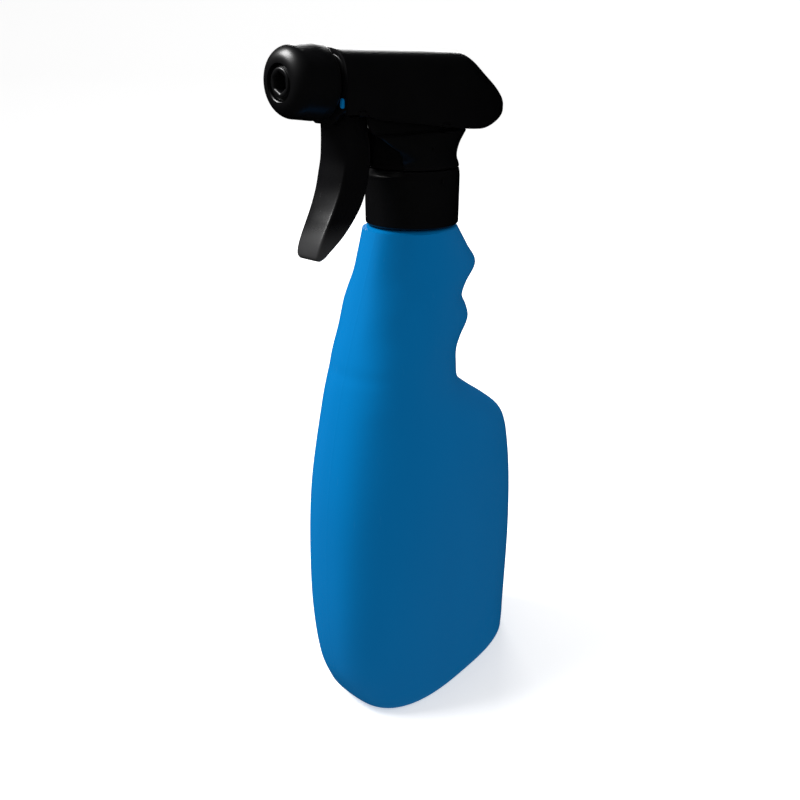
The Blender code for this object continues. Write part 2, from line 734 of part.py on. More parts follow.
def nozzle_seal(material, group):
    """A small ring between the barrel's end and the nozzle cap's bore."""
    middle, radius = forward(-48.5), 0.48
    profile = []
    for index in range(8):
        angle = -2 * math.pi * index / 8
        profile.append((4.5 + radius * math.cos(angle), middle + radius * math.sin(angle)))
    return laid_forward(turned("nozzle_seal", profile, material, group), SHROUD_FRONT_X, NOZZLE_Z)


def main():
    clear_scene()
    parts = collection("spray_bottle")
    cutters = collection("cutters")
    blue = plastic("bottle_blue", (0.0, 0.16, 0.35), 0.35)
    black = plastic("black_plastic", (0.012, 0.012, 0.014), 0.3)
    grey = plastic("natural_plastic", (0.6, 0.6, 0.58), 0.4)
    rubber = plastic("seal_rubber", (0.05, 0.05, 0.05), 0.7)
    steel = plastic("spring_steel", (0.6, 0.6, 0.6), 0.3, 1.0)
    bottle(blue, parts, cutters)
    neck_gasket(rubber, parts)
    collar(black, parts, cutters)
    pump_body(black, parts, cutters)
    neck_cover(black, parts, cutters)
    shroud(black, parts)
    trigger(black, parts, cutters)
    trigger_pin(steel, parts)
    piston(grey, parts)
    piston_seal("vent_seal", 4.0, rubber, parts)
    piston_seal("pressure_seal", 1.2, rubber, parts)
    return_spring(steel, parts)
    inlet_seat(grey, parts)
    inlet_ball(steel, parts)
    outlet_ball(steel, parts)
    outlet_spring(steel, parts)
    chamber_plug(grey, parts)
    dip_tube(grey, parts)
    nozzle_base(black, parts, cutters)
    nozzle_cap(black, parts)
    nozzle_insert(black, parts, cutters)
    swirl_core(grey, parts)
    nozzle_seal(rubber, parts)


main()
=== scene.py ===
# %% [markdown]
# # A trigger spray bottle, made piece by piece
#
# The object is a blue, waisted household spray bottle of about 750 ml with a black trigger
# sprayer screwed on its neck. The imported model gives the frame: its bodies, its joints and
# every size. This lesson makes the looks round that frame, one piece or finish at a time.
# All lengths in the tables are millimetres, and the meshes are written in metres.

# %% Load the frame
import math

import bmesh
import bpy
from mathutils import Matrix, Vector


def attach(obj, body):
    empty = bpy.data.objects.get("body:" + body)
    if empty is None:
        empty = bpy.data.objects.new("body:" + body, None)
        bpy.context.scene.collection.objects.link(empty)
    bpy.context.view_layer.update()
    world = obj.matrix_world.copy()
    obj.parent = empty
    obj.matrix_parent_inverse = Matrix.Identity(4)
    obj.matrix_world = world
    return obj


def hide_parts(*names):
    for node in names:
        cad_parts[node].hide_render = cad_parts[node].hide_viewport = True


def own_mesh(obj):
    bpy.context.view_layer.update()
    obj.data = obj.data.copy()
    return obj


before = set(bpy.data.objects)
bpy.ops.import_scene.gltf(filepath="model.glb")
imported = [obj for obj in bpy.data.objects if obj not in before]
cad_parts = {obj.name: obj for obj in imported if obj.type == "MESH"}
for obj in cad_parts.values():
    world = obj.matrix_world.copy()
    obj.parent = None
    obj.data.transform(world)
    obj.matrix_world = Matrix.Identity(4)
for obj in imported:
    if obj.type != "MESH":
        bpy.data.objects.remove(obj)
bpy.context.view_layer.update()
MM = 0.001

# %% [markdown]
# ## The camera
#
# A normal lens from a little above the sprayer, turned so that the front, one side and the
# top show together. It looks down by about 24 degrees, which is how a bottle on a bench is
# seen by someone who stands beside it.

# %% Make the camera
LENS = 33.62
CAMERA_PLACE = (-0.21243, -0.19076, 0.26186)
CAMERA_TURN = (66.28, 0.0, -47.18)

lens = bpy.data.cameras.new("camera")
lens.lens = LENS
lens.sensor_width = 36.0
lens.clip_start = 0.01
camera = bpy.data.objects.new("camera", lens)
camera.location = CAMERA_PLACE
camera.rotation_euler = [math.radians(turn) for turn in CAMERA_TURN]
bpy.context.scene.collection.objects.link(camera)
bpy.context.scene.camera = camera
print("camera at", [round(value, 3) for value in camera.location])

# %% [markdown]
# ## Shader maths
#
# A finish is a small sum of patterns: grain, wear, a polished patch. Node trees hide such
# sums in boxes and wires, so one class wraps a socket and lets Python's own + - * / write
# the Math nodes, and one method makes any other node.


# %% A socket that can be added and multiplied
class Wire:
    """One value in a finish. Arithmetic on it adds Math nodes."""

    def __init__(self, finish, socket):
        self.finish = finish
        self.socket = socket

    def maths(self, operation, left, right):
        return self.finish.node("ShaderNodeMath", {"operation": operation}, {0: left, 1: right})

    def __add__(self, other):
        return self.maths("ADD", self, other)

    __radd__ = __add__

    def __sub__(self, other):
        return self.maths("SUBTRACT", self, other)

    def __rsub__(self, other):
        return self.maths("SUBTRACT", other, self)

    def __mul__(self, other):
        return self.maths("MULTIPLY", self, other)

    __rmul__ = __mul__

    def __truediv__(self, other):
        return self.maths("DIVIDE", self, other)

    def __rtruediv__(self, other):
        return self.maths("DIVIDE", other, self)


# %% One finish, and the method that makes its nodes
class Finish:
    """A material under construction."""

    def __init__(self, name):
        self.material = bpy.data.materials.new(name)
        self.material.use_nodes = True
        self.tree = self.material.node_tree
        self.shader = self.tree.nodes["Principled BSDF"]
        self.place = self.node("ShaderNodeTexCoord", output="Object")

    def node(self, kind, settings=None, values=None, output=0):
        made = self.tree.nodes.new(kind)
        for name, value in (settings or {}).items():
            if name == "stops":
                self.set_stops(made.color_ramp, value)
            else:
                setattr(made, name, value)
        for name, value in (values or {}).items():
            self.feed(made.inputs[name], value)
        return Wire(self, made.outputs[output])

    def feed(self, socket, value):
        if isinstance(value, Wire):
            self.tree.links.new(value.socket, socket)
        else:
            socket.default_value = value

    def set_stops(self, ramp, stops):
        while len(ramp.elements) < len(stops):
            ramp.elements.new(0.5)
        for element, (position, shade) in zip(ramp.elements, stops):
            element.position = position
            element.color = (shade, shade, shade, 1.0)

    def ramp(self, value, stops):
        return self.node("ShaderNodeValToRGB", {"stops": stops}, {"Fac": value})

    def axis(self, name):
        return self.node("ShaderNodeSeparateXYZ", values={"Vector": self.place}, output=name)

    def stretched(self, scale):
        return self.node("ShaderNodeMapping", values={"Vector": self.place, "Scale": scale})

    def noise(self, size_mm, detail=2.0, where=None, roughness=0.5):
        """Noise whose features are about size_mm across, from 0 to 1."""
        values = {"Vector": where or self.place, "Scale": 1.0 / (size_mm * MM), "Detail": detail}
        values["Roughness"] = roughness
        return self.node("ShaderNodeTexNoise", values=values)

    def between(self, value, low, high):
        """0 below low, 1 above high, smooth between them."""
        settings = {"interpolation_type": "SMOOTHSTEP"}
        return self.node("ShaderNodeMapRange", settings, {"Value": value, "From Min": low, "From Max": high})

    def blend(self, amount, first, second):
        """Mix two colours."""
        mixed = self.tree.nodes.new("ShaderNodeMix")
        mixed.data_type = "RGBA"
        self.feed(mixed.inputs[0], amount)
        for socket, colour in ((mixed.inputs[6], first), (mixed.inputs[7], second)):
            self.feed(socket, colour if isinstance(colour, Wire) else (*colour, 1.0))
        return Wire(self, mixed.outputs[2])

    def bump(self, height, depth_mm, strength=1.0):
        return self.node(
            "ShaderNodeBump", values={"Height": height, "Distance": depth_mm * MM, "Strength": strength},
            output="Normal",
        )

    def done(self, colour, roughness, normal=None, **uniform):
        self.feed(self.shader.inputs["Base Color"], colour if isinstance(colour, Wire) else (*colour, 1.0))
        self.feed(self.shader.inputs["Roughness"], roughness)
        if normal is not None:
            self.feed(self.shader.inputs["Normal"], normal)
        for name, value in uniform.items():
            self.shader.inputs[name.replace("_", " ")].default_value = value
        return self.material


print("shader helpers ready")

# %% [markdown]
# ## The blue of the bottle
#
# The bottle is blow-moulded polyethylene, coloured all through. The mould is sand-blasted so
# that the air can leave, and that leaves a fine pebbled grain and a satin shine. Handling
# rubs the grain flat where the belly is widest, so those patches are a little glossier, with
# hair-thin scuffs. The colour itself varies by a few parts in a hundred with the wall.


# %% Mix the blue polyethylene
def blue_polyethylene():
    finish = Finish("blue_polyethylene")
    grain = finish.noise(0.45, 3.0, roughness=0.6)
    flow = finish.noise(22.0, 2.0, finish.stretched((1.0, 1.0, 0.35)))
    scuffs = finish.noise(1.1, 4.0, finish.stretched((1.0, 1.0, 0.06)), 0.65)
    scuffs = finish.ramp(scuffs, [(0.0, 0.0), (0.63, 0.0), (0.70, 1.0)])
    rubbed = finish.between(finish.noise(34.0, 2.0), 0.5, 0.66)
    worn = scuffs * rubbed
    foot = 1 - finish.between(finish.axis("Z"), 0.0008, 0.0042)
    even = finish.blend(flow, (0.0, 0.148, 0.402), (0.0, 0.160, 0.430))
    colour = finish.blend(worn * 0.14 + foot * 0.2, even, (0.03, 0.22, 0.47))
    roughness = 0.43 + grain * 0.1 - rubbed * 0.07 + worn * 0.14 + foot * 0.12
    relief = grain - worn * 0.5 + finish.noise(6.0, 2.0) * 2.0
    return finish.done(colour, roughness, finish.bump(relief, 0.035, 0.5), IOR=1.51, Specular_IOR_Level=0.03)


BLUE = blue_polyethylene()
print("made", BLUE.name)

# %% [markdown]
# ## The black of the sprayer
#
# Every black piece is injection-moulded polypropylene. The tool is spark-eroded, which gives
# a grain finer than the bottle's. The pieces are worn in different places: fingers dull the tip
# of the trigger, and the closure picks up scratches round its grip. The grey on the trigger's
# tip is partly that wear and partly a painted highlight. One recipe takes those places as
# numbers, so that the pieces stay one family.


# %% Mix the black polypropylene
def black_polypropylene(name, sheen, rubbed=None, scratches=(1.0, 1.0, 1.0), scratch_share=0.12):
    """rubbed is (axis, from, to) in metres: where fingers have dulled the grain; the grey laid there is wear
    and a painted highlight.
    """
    finish = Finish(name)
    grain = finish.noise(0.28, 3.0, roughness=0.6)
    cloud = finish.noise(9.0, 3.0)
    lines = finish.noise(1.4, 5.0, finish.stretched(scratches), 0.7)
    lines = finish.ramp(lines, [(0.0, 0.0), (0.66, 0.0), (0.71, 1.0)])
    lines = lines * finish.between(finish.noise(13.0, 2.0), 0.48, 0.62)
    smoothed = finish.between(cloud, 0.4, 0.7) * 0.3
    even = finish.blend(cloud, (0.0022, 0.0022, 0.0027), (0.0036, 0.0036, 0.0042))
    colour = finish.blend(lines * scratch_share, even, (0.05, 0.05, 0.053))
    roughness = sheen + grain * 0.10 - smoothed * 0.09 + lines * 0.12
    if rubbed:
        wear_and_painted_highlight = finish.between(finish.axis(rubbed[0]), rubbed[1], rubbed[2])
        # painted highlight: the grey lightens the rubbed place as the key light's gloss would, on top of real
        # wear; the added roughness is the wear
        colour = finish.blend(wear_and_painted_highlight * (0.7 + cloud * 0.6), colour, (0.034, 0.034, 0.035))
        roughness = roughness + wear_and_painted_highlight * 0.14
    relief = grain * (1 - smoothed * 0.6) - lines * 0.35
    return finish.done(colour, roughness, finish.bump(relief, 0.02, 0.45), IOR=1.49)


BLACK_COVER = black_polypropylene("black_cover", 0.30, scratches=(0.08, 1.0, 1.0))
BLACK_COLLAR = black_polypropylene("black_collar", 0.30, scratches=(1.0, 1.0, 0.1), scratch_share=0.2)
# the trigger's tip below 217 mm is greyed: finger wear and a painted highlight
BLACK_TRIGGER = black_polypropylene("black_trigger", 0.20, ("Z", 0.217, 0.206), (1.0, 1.0, 0.12))
BLACK_KNOB = black_polypropylene("black_knob", 0.29, scratches=(0.1, 1.0, 1.0))
BLACK_PUMP = black_polypropylene("black_pump", 0.42)
print("black finishes:", BLACK_COVER.name, BLACK_COLLAR.name, BLACK_TRIGGER.name, BLACK_KNOB.name)

# %% [markdown]
# ## Finishes of the pieces inside
#
# The pump's small pieces are left in the plastic's own milky colour, because no one sees
# them. The rings are soft black rubber, which is matt and picks up dust. The springs, balls
# and pin are stainless steel with the fine lines of drawn wire.


# %% Mix the milky plastic, the rubber and the steel
def milky_plastic():
    finish = Finish("milky_plastic")
    cloud = finish.noise(5.0, 3.0)
    grain = finish.noise(0.35, 2.0)
    colour = finish.blend(cloud, (0.55, 0.56, 0.53), (0.64, 0.65, 0.62))
    return finish.done(colour, 0.34 + grain * 0.12, finish.bump(grain, 0.012, 0.4), IOR=1.5)


def seal_rubber():
    finish = Finish("seal_rubber")
    dust = finish.between(finish.noise(1.6, 4.0), 0.5, 0.72)
    grain = finish.noise(0.2, 3.0)
    colour = finish.blend(dust, (0.018, 0.018, 0.019), (0.045, 0.044, 0.042))
    return finish.done(colour, 0.66 + dust * 0.16, finish.bump(grain, 0.015, 0.6))


def drawn_steel():
    finish = Finish("drawn_steel")
    lines = finish.noise(0.22, 3.0, finish.stretched((1.0, 1.0, 0.15)))
    colour = finish.blend(lines, (0.50, 0.50, 0.50), (0.66, 0.65, 0.63))
    return finish.done(colour, 0.22 + lines * 0.16, finish.bump(lines, 0.006, 0.4), Metallic=1.0)


MILKY = milky_plastic()
RUBBER = seal_rubber()
STEEL = drawn_steel()
print("inside finishes:", MILKY.name, RUBBER.name, STEEL.name)

# %% [markdown]
# ## Rings, skins and turned shapes
#
# Nearly every moulded piece is a stack of rings with a skin over them: the mould opens along
# one direction, and each level across that direction is one closed curve. Curves between a
# few measured heights are eased, so that no level shows as a kink. A ring can be anything
# between an ellipse and a box, by the exponent of a superellipse.


# %% Read a smooth curve through a few points
def eased(points, at):
    """Read a smooth curve through (position, value) points at one position."""
    if at <= points[0][0]:
        return points[0][1]
    for index in range(len(points) - 1):
        (x0, y0), (x1, y1) = points[index], points[index + 1]
        if at <= x1:
            break
    else:
        return points[-1][1]
    before = points[max(index - 1, 0)]
    after = points[min(index + 2, len(points) - 1)]
    slope0 = (y1 - before[1]) / (x1 - before[0])
    slope1 = (after[1] - y0) / (after[0] - x0)
    span = x1 - x0
    t = (at - x0) / span
    start = (1 + 2 * t) * (1 - t) ** 2 * y0 + t * (1 - t) ** 2 * span * slope0
    end = t * t * (3 - 2 * t) * y1 + t * t * (t - 1) * span * slope1
    return start + end


def steps(low, high, count):
    """count + 1 evenly spaced numbers."""
    return [low + (high - low) * index / count for index in range(count + 1)]


def box_ring(x_front, x_back, half_width, exponent, z, angles):
    """One level between an ellipse and a box."""
    middle = (x_front + x_back) / 2
    half_length = (x_back - x_front) / 2
    ring = []
    for angle in angles:
        across, along = math.cos(angle), math.sin(angle)
        x = middle + half_length * math.copysign(abs(across) ** (2 / exponent), across)
        y = half_width * math.copysign(abs(along) ** (2 / exponent), along)
        ring.append((x, y, z))
    return ring


def full_turn(count):
    return [2 * math.pi * index / count for index in range(count)]


print("half-way on a curve from 0 to 1:", eased([(0, 0), (1, 1)], 0.5))


# %% Turn rings into a closed mesh
def skin(rings, closed=True, caps=True):
    """Points and faces over rings of equal count, with the two ends closed by a fan."""
    count = len(rings[0])
    points = [point for ring in rings for point in ring]
    faces = []
    for level in range(len(rings) - 1):
        low, high = level * count, (level + 1) * count
        for index in range(count if closed else count - 1):
            following = (index + 1) % count
            faces.append((low + index, low + following, high + following, high + index))
    if caps:
        for ring_start, ring in ((0, rings[0]), (len(points) - count, rings[-1])):
            centre = tuple(sum(point[axis] for point in ring) / count for axis in range(3))
            hub = len(points)
            points.append(centre)
            for index in range(count):
                faces.append((ring_start + index, ring_start + (index + 1) % count, hub))
    return points, faces


def make_piece(name, parts, finish, smooth_angle=40.0):
    """One mesh object out of several closed (points, faces) parts, in millimetres."""
    mesh = bpy.data.meshes.new(name)
    shape = bmesh.new()
    for points, faces in parts:
        corners = [shape.verts.new(tuple(value * MM for value in point)) for point in points]
        for face in faces:
            shape.faces.new([corners[index] for index in face])
    bmesh.ops.remove_doubles(shape, verts=shape.verts, dist=0.0000004)
    bmesh.ops.recalc_face_normals(shape, faces=shape.faces)
    shape.to_mesh(mesh)
    shape.free()
    mesh.shade_smooth()
    mesh.set_sharp_from_angle(angle=math.radians(smooth_angle))
    piece = bpy.data.objects.new(name, mesh)
    bpy.context.scene.collection.objects.link(piece)
    mesh.materials.append(finish)
    return piece


def settle(piece, body, slot, *nodes):
    """The piece moves with body and stands for the CAD nodes, which it hides; slot is not used."""
    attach(piece, body)
    if nodes:
        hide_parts(*nodes)
    print(piece.name, "on", body, "with", len(piece.data.polygons), "faces")
    return piece


# %% Turn a profile, with its corners rounded
def rounded_profile(points, closed=True, arc=3):
    """(radius, height, corner radius) points; each corner becomes a short arc."""
    made = []
    count = len(points)
    for index, (r, z, corner) in enumerate(points):
        at_end = not closed and index in (0, count - 1)
        if corner <= 0 or at_end:
            made.append((r, z))
            continue
        here = Vector((r, z))
        before = Vector(points[index - 1][:2]) - here
        after = Vector(points[(index + 1) % count][:2]) - here
        reach = min(corner, before.length * 0.48, after.length * 0.48)
        start, end = here + before.normalized() * reach, here + after.normalized() * reach
        for step in steps(0.0, 1.0, arc):
            point = start.lerp(here, step).lerp(here.lerp(end, step), step)
            made.append((point.x, point.y))
    return made


def turned(profile, count, closed=True):
    """Turn a profile about Z; one that isn't closed starts and ends on the axis."""
    angles = full_turn(count)
    rings = [[(r * math.cos(a), r * math.sin(a), z) for a in angles] for r, z in profile]
    if closed:
        points, faces = skin(rings + [rings[0]], caps=False)
        return points, faces
    return skin(rings, caps=False)


def laid_forward(part, x, z):
    """Lay a part turned about Z down, so that its own +Z points along -X."""
    points, faces = part
    return [(x - pz, py, z + px) for px, py, pz in points], faces


print("turned shapes ready")

# %% [markdown]
# ## Geometry Nodes for what is wound or repeated
#
# Screw threads and springs are one section carried round a helix, and ribs are one plate set
# again and again along a line. Geometry Nodes say such a rule once, with its sizes as named
# inputs. The result is turned into a plain mesh at once, so nothing is left to compute.


# %% Helpers for Geometry Nodes
def new_tree(name, inputs):
    """An empty tree with named inputs (name, kind, value) and one geometry output."""
    tree = bpy.data.node_groups.new(name, "GeometryNodeTree")
    for label, kind, value in inputs:
        socket = tree.interface.new_socket(label, in_out="INPUT", socket_type=kind)
        if value is not None:
            socket.default_value = value
    tree.interface.new_socket("Geometry", in_out="OUTPUT", socket_type="NodeSocketGeometry")
    return tree


def add_node(tree, kind, settings=None, values=None):
    """One node, its settings first and then the values or links of its sockets."""
    made = tree.nodes.new(kind)
    for name, value in (settings or {}).items():
        setattr(made, name, value)
    for name, value in (values or {}).items():
        if isinstance(value, bpy.types.NodeSocket):
            tree.links.new(value, made.inputs[name])
        else:
            made.inputs[name].default_value = value
    return made


def close_tree(tree, geometry, material_socket):
    real = add_node(tree, "GeometryNodeRealizeInstances", values={"Geometry": geometry})
    painted = add_node(
        tree, "GeometryNodeSetMaterial", values={"Geometry": real.outputs[0], "Material": material_socket}
    )
    end = tree.nodes.new("NodeGroupOutput")
    tree.links.new(painted.outputs[0], end.inputs[0])


def run_tree(name, tree, values):
    """Evaluate the tree with these named inputs and return a plain mesh."""
    carrier = bpy.data.objects.new(name + "_carrier", bpy.data.meshes.new(name + "_carrier"))
    bpy.context.scene.collection.objects.link(carrier)
    modifier = carrier.modifiers.new("tree", "NODES")
    modifier.node_group = tree
    keys = {item.name: item.identifier for item in tree.interface.items_tree if item.in_out == "INPUT"}
    for label, value in values.items():
        modifier[keys[label]] = value
    evaluated = carrier.evaluated_get(bpy.context.evaluated_depsgraph_get())
    mesh = bpy.data.meshes.new_from_object(evaluated)
    carrier.modifiers.remove(modifier)
    bpy.data.objects.remove(carrier)
    mesh.name = name
    return mesh


def plain_piece(name, mesh, change=None, smooth_angle=40.0):
    """An object from a tree's mesh, moved by a matrix, with its normals set outwards."""
    if change is not None:
        mesh.transform(change)
    shape = bmesh.new()
    shape.from_mesh(mesh)
    bmesh.ops.remove_doubles(shape, verts=shape.verts, dist=0.0000004)
    bmesh.ops.recalc_face_normals(shape, faces=shape.faces)
    shape.to_mesh(mesh)
    shape.free()
    mesh.shade_smooth()
    mesh.set_sharp_from_angle(angle=math.radians(smooth_angle))
    piece = bpy.data.objects.new(name, mesh)
    bpy.context.scene.collection.objects.link(piece)
    return piece


print("Geometry Nodes helpers ready")


# %% The helix tree: a section carried round an axis
def helix_tree():
    """A round or trapezoid section on a helix about Z, its ends faded out on request."""
    number, whole = "NodeSocketFloat", "NodeSocketInt"
    tree = new_tree("helix", [
        ("Radius", number, 0.01), ("Rise", number, 0.01), ("Turns", number, 2.0),
        ("Steps per turn", whole, 24), ("Section height", number, 0.001),
        ("Section depth", number, 0.001), ("Flat", number, 0.4), ("Corner", number, 0.0002),
        ("Fade", number, 0.0), ("Shift", number, 0.0), ("Section turn", number, 0.0),
        ("Material", "NodeSocketMaterial", None),
    ])
    start = tree.nodes.new("NodeGroupInput").outputs
    spiral = add_node(tree, "GeometryNodeCurveSpiral", values={
        "Resolution": start["Steps per turn"], "Rotations": start["Turns"],
        "Start Radius": start["Radius"], "End Radius": start["Radius"], "Height": start["Rise"],
    })
    upright = add_node(tree, "GeometryNodeSetCurveNormal", values={"Curve": spiral.outputs[0]})
    upright.mode = "Z_UP"
    along = add_node(tree, "GeometryNodeSplineParameter").outputs["Factor"]
    back = add_node(tree, "ShaderNodeMath", {"operation": "SUBTRACT"}, {0: 1.0, 1: along}).outputs[0]
    nearest = add_node(tree, "ShaderNodeMath", {"operation": "MINIMUM"}, {0: along, 1: back}).outputs[0]
    grown = add_node(tree, "ShaderNodeMapRange", {"interpolation_type": "SMOOTHSTEP"}, {
        "Value": nearest, "From Min": -0.002, "From Max": start["Fade"],
    }).outputs[0]
    flat = add_node(tree, "ShaderNodeMath", {"operation": "MULTIPLY"}, {
        0: start["Section height"], 1: start["Flat"]}).outputs[0]
    section = add_node(tree, "GeometryNodeCurvePrimitiveQuadrilateral", {"mode": "TRAPEZOID"}, {
        "Height": start["Section depth"], "Bottom Width": start["Section height"],
        "Top Width": flat, "Offset": 0.0,
    })
    turn = add_node(tree, "ShaderNodeCombineXYZ", values={"Z": start["Section turn"]})
    shift = add_node(tree, "ShaderNodeCombineXYZ", values={"X": start["Shift"]})
    turned_section = add_node(tree, "GeometryNodeTransform", values={
        "Geometry": section.outputs[0], "Rotation": turn.outputs[0], "Translation": shift.outputs[0],
    })
    softened = add_node(tree, "GeometryNodeFilletCurve", values={
        "Curve": turned_section.outputs[0], "Radius": start["Corner"]})
    softened.mode = "POLY"
    softened.inputs["Count"].default_value = 3
    swept = add_node(tree, "GeometryNodeCurveToMesh", values={
        "Curve": upright.outputs[0], "Profile Curve": softened.outputs[0], "Fill Caps": True,
        "Scale": grown,
    })
    close_tree(tree, swept.outputs[0], start["Material"])
    return tree


HELIX = helix_tree()
print("helix tree with", len(HELIX.nodes), "nodes")

# %% [markdown]
# ## The bottle
#
# The real bottle is one blown skin about a millimetre thick. It could be a box with
# subdivision, but its silhouette follows a drawing, so it is lofted: front, back, side and
# squareness are curves of height. The skin runs from the middle of the base, out over the
# foot, up the outside, over the lip and down the inside, so wall and lip are real.
#
# A blown bottle tells how it was made. The two mould halves leave a hair-thin parting line
# down the front and back, the base is pushed up so that the bottle stands on a ring, and the
# pinched-off tail of the tube leaves a seam across the base. The front has a slight crease
# where the slim body turns into the neck.

# %% Curves of the bottle, by height
SHOULDER_Z = 208.5
NECK_RADIUS = 12.7
WALL = 1.1
FRONT = [
    (0, -36.4), (4, -39.5), (10, -43.1), (25, -48.2), (50, -50.7), (80, -50.2), (110, -47.7),
    (140, -42.0), (165, -35.0), (190, -26.0), (SHOULDER_Z, -19.3),
]
BACK = [
    (0, 57.0), (4, 57.8), (10, 59.1), (30, 60.2), (60, 59.4), (90, 56.8), (108, 53.9),
    (118, 51.4), (124, 47.8), (131, 39.1), (140, 26.2), (147, 18.0), (155, 16.7), (161, 16.8),
    (166, 19.4), (172, 24.2), (177, 22.6), (182, 19.6), (187, 22.8), (193, 29.6), (200, 24.4),
    (SHOULDER_Z, 17.4),
]
HALF_WIDTH = [
    (0, 26.4), (4, 26.7), (10, 26.9), (45, 27.4), (90, 28.0), (120, 26.7), (150, 21.6),
    (180, 20.7), (SHOULDER_Z, 17.5),
]
SQUARENESS = [(0, 2.8), (15, 2.55), (60, 2.6), (120, 2.5), (160, 2.3), (SHOULDER_Z, 2.05)]
PARTING_HEIGHT = 0.05
PARTING_HALF_WIDTH = 0.4
CREASE_Z = 158.0
CREASE_DEPTH = 0.24
COLUMNS = 144
near_seam = [0.0026, 0.006, 0.014]
BOTTLE_ANGLES = sorted(
    full_turn(COLUMNS) + near_seam + [2 * math.pi - a for a in near_seam]
    + [math.pi - a for a in near_seam] + [math.pi + a for a in near_seam]
)
print("columns round the bottle:", len(BOTTLE_ANGLES))


# %% Rings of the bottle
def body_ring(z, inset=0.0, marks=True):
    """One level of the body, moved in by inset, with the parting line and the crease."""
    front, back = eased(FRONT, z) + inset, eased(BACK, z) - inset
    half_width = eased(HALF_WIDTH, z) - inset
    ring = box_ring(front, back, half_width, eased(SQUARENESS, z), z, BOTTLE_ANGLES)
    if not marks:
        return ring
    crease = CREASE_DEPTH * math.exp(-(((z - CREASE_Z) / 2.6) ** 2))
    made = []
    for x, y, level in ring:
        seam = PARTING_HEIGHT * max(0.0, 1.0 - abs(y) / PARTING_HALF_WIDTH)
        away = -1.0 if x < (front + back) / 2 else 1.0
        toward_front = max(0.0, (front * 0.25 - x) / abs(front * 0.75))
        made.append((x + away * seam + crease * toward_front, y, level))
    return made


def neck_ring(z, radius):
    return box_ring(-radius, radius, radius, 2.0, z, BOTTLE_ANGLES)


def base_ring(share, lift, ring):
    """A ring of the base: the foot drawn towards the middle and pushed up."""
    middle = sum(point[0] for point in ring) / len(ring)
    made = []
    for x, y, z in ring:
        pinch = 0.35 * max(0.0, 1.0 - abs(y) * share / 0.7) if lift > 0.4 else 0.0
        made.append((middle + (x - middle) * share, y * share, z + lift - pinch))
    return made


PUSH_UP = [(0.0, 2.6), (0.45, 2.45), (0.75, 1.5), (0.88, 0.45), (0.94, 0.06), (1.0, 0.0)]
HEEL = [(0.0, 1.15), (0.12, 0.7), (0.4, 0.34), (0.8, 0.12), (1.3, 0.0)]
SHOULDER = [(208.9, 17.1), (209.25, 16.5), (209.45, 15.4), (209.5, 14.2), (209.6, 13.2), (209.9, 12.8)]
LIP = [(224.1, 12.7), (224.4, 12.6), (224.58, 12.4), (224.6, 12.1), (224.55, 11.8), (224.3, 11.6)]


def bottle_rings():
    foot = body_ring(0.0, HEEL[0][1])
    base_shares = [0.02, 0.06] + steps(0.12, 0.84, 12) + [0.88, 0.91, 0.94, 0.97]
    rings = [base_ring(share, eased(PUSH_UP, share), foot) for share in base_shares]
    rings += [body_ring(z, inset) for z, inset in HEEL]
    rings += [body_ring(z) for z in steps(2.0, 20.0, 10) + steps(23.0, 112.0, 28)]
    rings += [body_ring(z) for z in steps(114.0, 207.5, 84)] + [body_ring(SHOULDER_Z)]
    rings += [neck_ring(z, radius) for z, radius in SHOULDER]
    rings += [neck_ring(z, NECK_RADIUS) for z in steps(210.4, 223.7, 6)]
    rings += [neck_ring(z, radius) for z, radius in LIP]
    rings += [neck_ring(z, NECK_RADIUS - WALL) for z in steps(223.0, 209.0, 6)]
    rings += [body_ring(z, WALL, marks=False) for z in steps(206.5, 114.0, 60)]
    rings += [body_ring(z, WALL, marks=False) for z in steps(111.0, 5.0, 26)]
    floor = body_ring(2.4, WALL + 1.6, marks=False)
    rings += [body_ring(3.2, WALL + 0.4, marks=False), floor]
    shares = steps(0.95, 0.05, 12)
    rings += [base_ring(share, max(0.3, eased(PUSH_UP, share)) - 0.3, floor) for share in shares]
    return rings


bottle = make_piece("bottle_skin", [skin(bottle_rings())], BLUE, 50.0)
settle(bottle, "bottle_body", "bottle_blue", "bottle")

# %% [markdown]
# ## The threads
#
# The neck has one and a half turns of a 4.2 mm thread, and the collar has the same thread
# inside out, half a pitch higher. Both fade out at their ends, as the tool's cutter leaves
# the metal. They come from the helix tree: only the radius, the side they stand on and the
# starting height differ.

# %% Wind the two threads
THREAD_PITCH = 4.2
THREAD_TURNS = 1.5
THREAD_START_Z = 214.4
RIGHT_HANDED = Matrix.Diagonal((1.0, -1.0, 1.0, 1.0))


def thread(name, root, crest, start_z, finish):
    """A screw thread's ridge that stands on root and reaches crest, in or out."""
    outward = 1.0 if crest > root else -1.0
    depth = abs(crest - root) * MM
    mesh = run_tree(name, HELIX, {
        "Radius": root * MM, "Rise": THREAD_PITCH * THREAD_TURNS * MM, "Turns": THREAD_TURNS,
        "Steps per turn": 96, "Section height": 0.0019, "Section depth": depth, "Flat": 0.4,
        "Corner": 0.0002, "Fade": 0.12, "Shift": -outward * depth / 2,
        "Section turn": math.radians(90) * outward, "Material": finish,
    })
    place = Matrix.Translation((0.0, 0.0, start_z * MM)) @ RIGHT_HANDED
    return plain_piece(name, mesh, place)


neck_thread = thread("neck_thread", 12.3, 13.7, THREAD_START_Z, BLUE)
settle(neck_thread, "bottle_body", "bottle_blue")
collar_thread = thread("collar_thread", 14.8, 14.0, THREAD_START_Z + THREAD_PITCH / 2, BLACK_COLLAR)
settle(collar_thread, "screw_collar", "black_plastic")

# %% [markdown]
# ## The collar
#
# The closure is a plain turned-looking ring: smooth outside, open below and closed above by
# a lip that holds the sprayer down. Its upper edge is chamfered under the arch, which makes
# the thin light line there. Elsewhere the neck cover comes down on it, so the chamfer fades
# out and leaves no notch. A small raised bar on its side is the mark that lines up when closed.


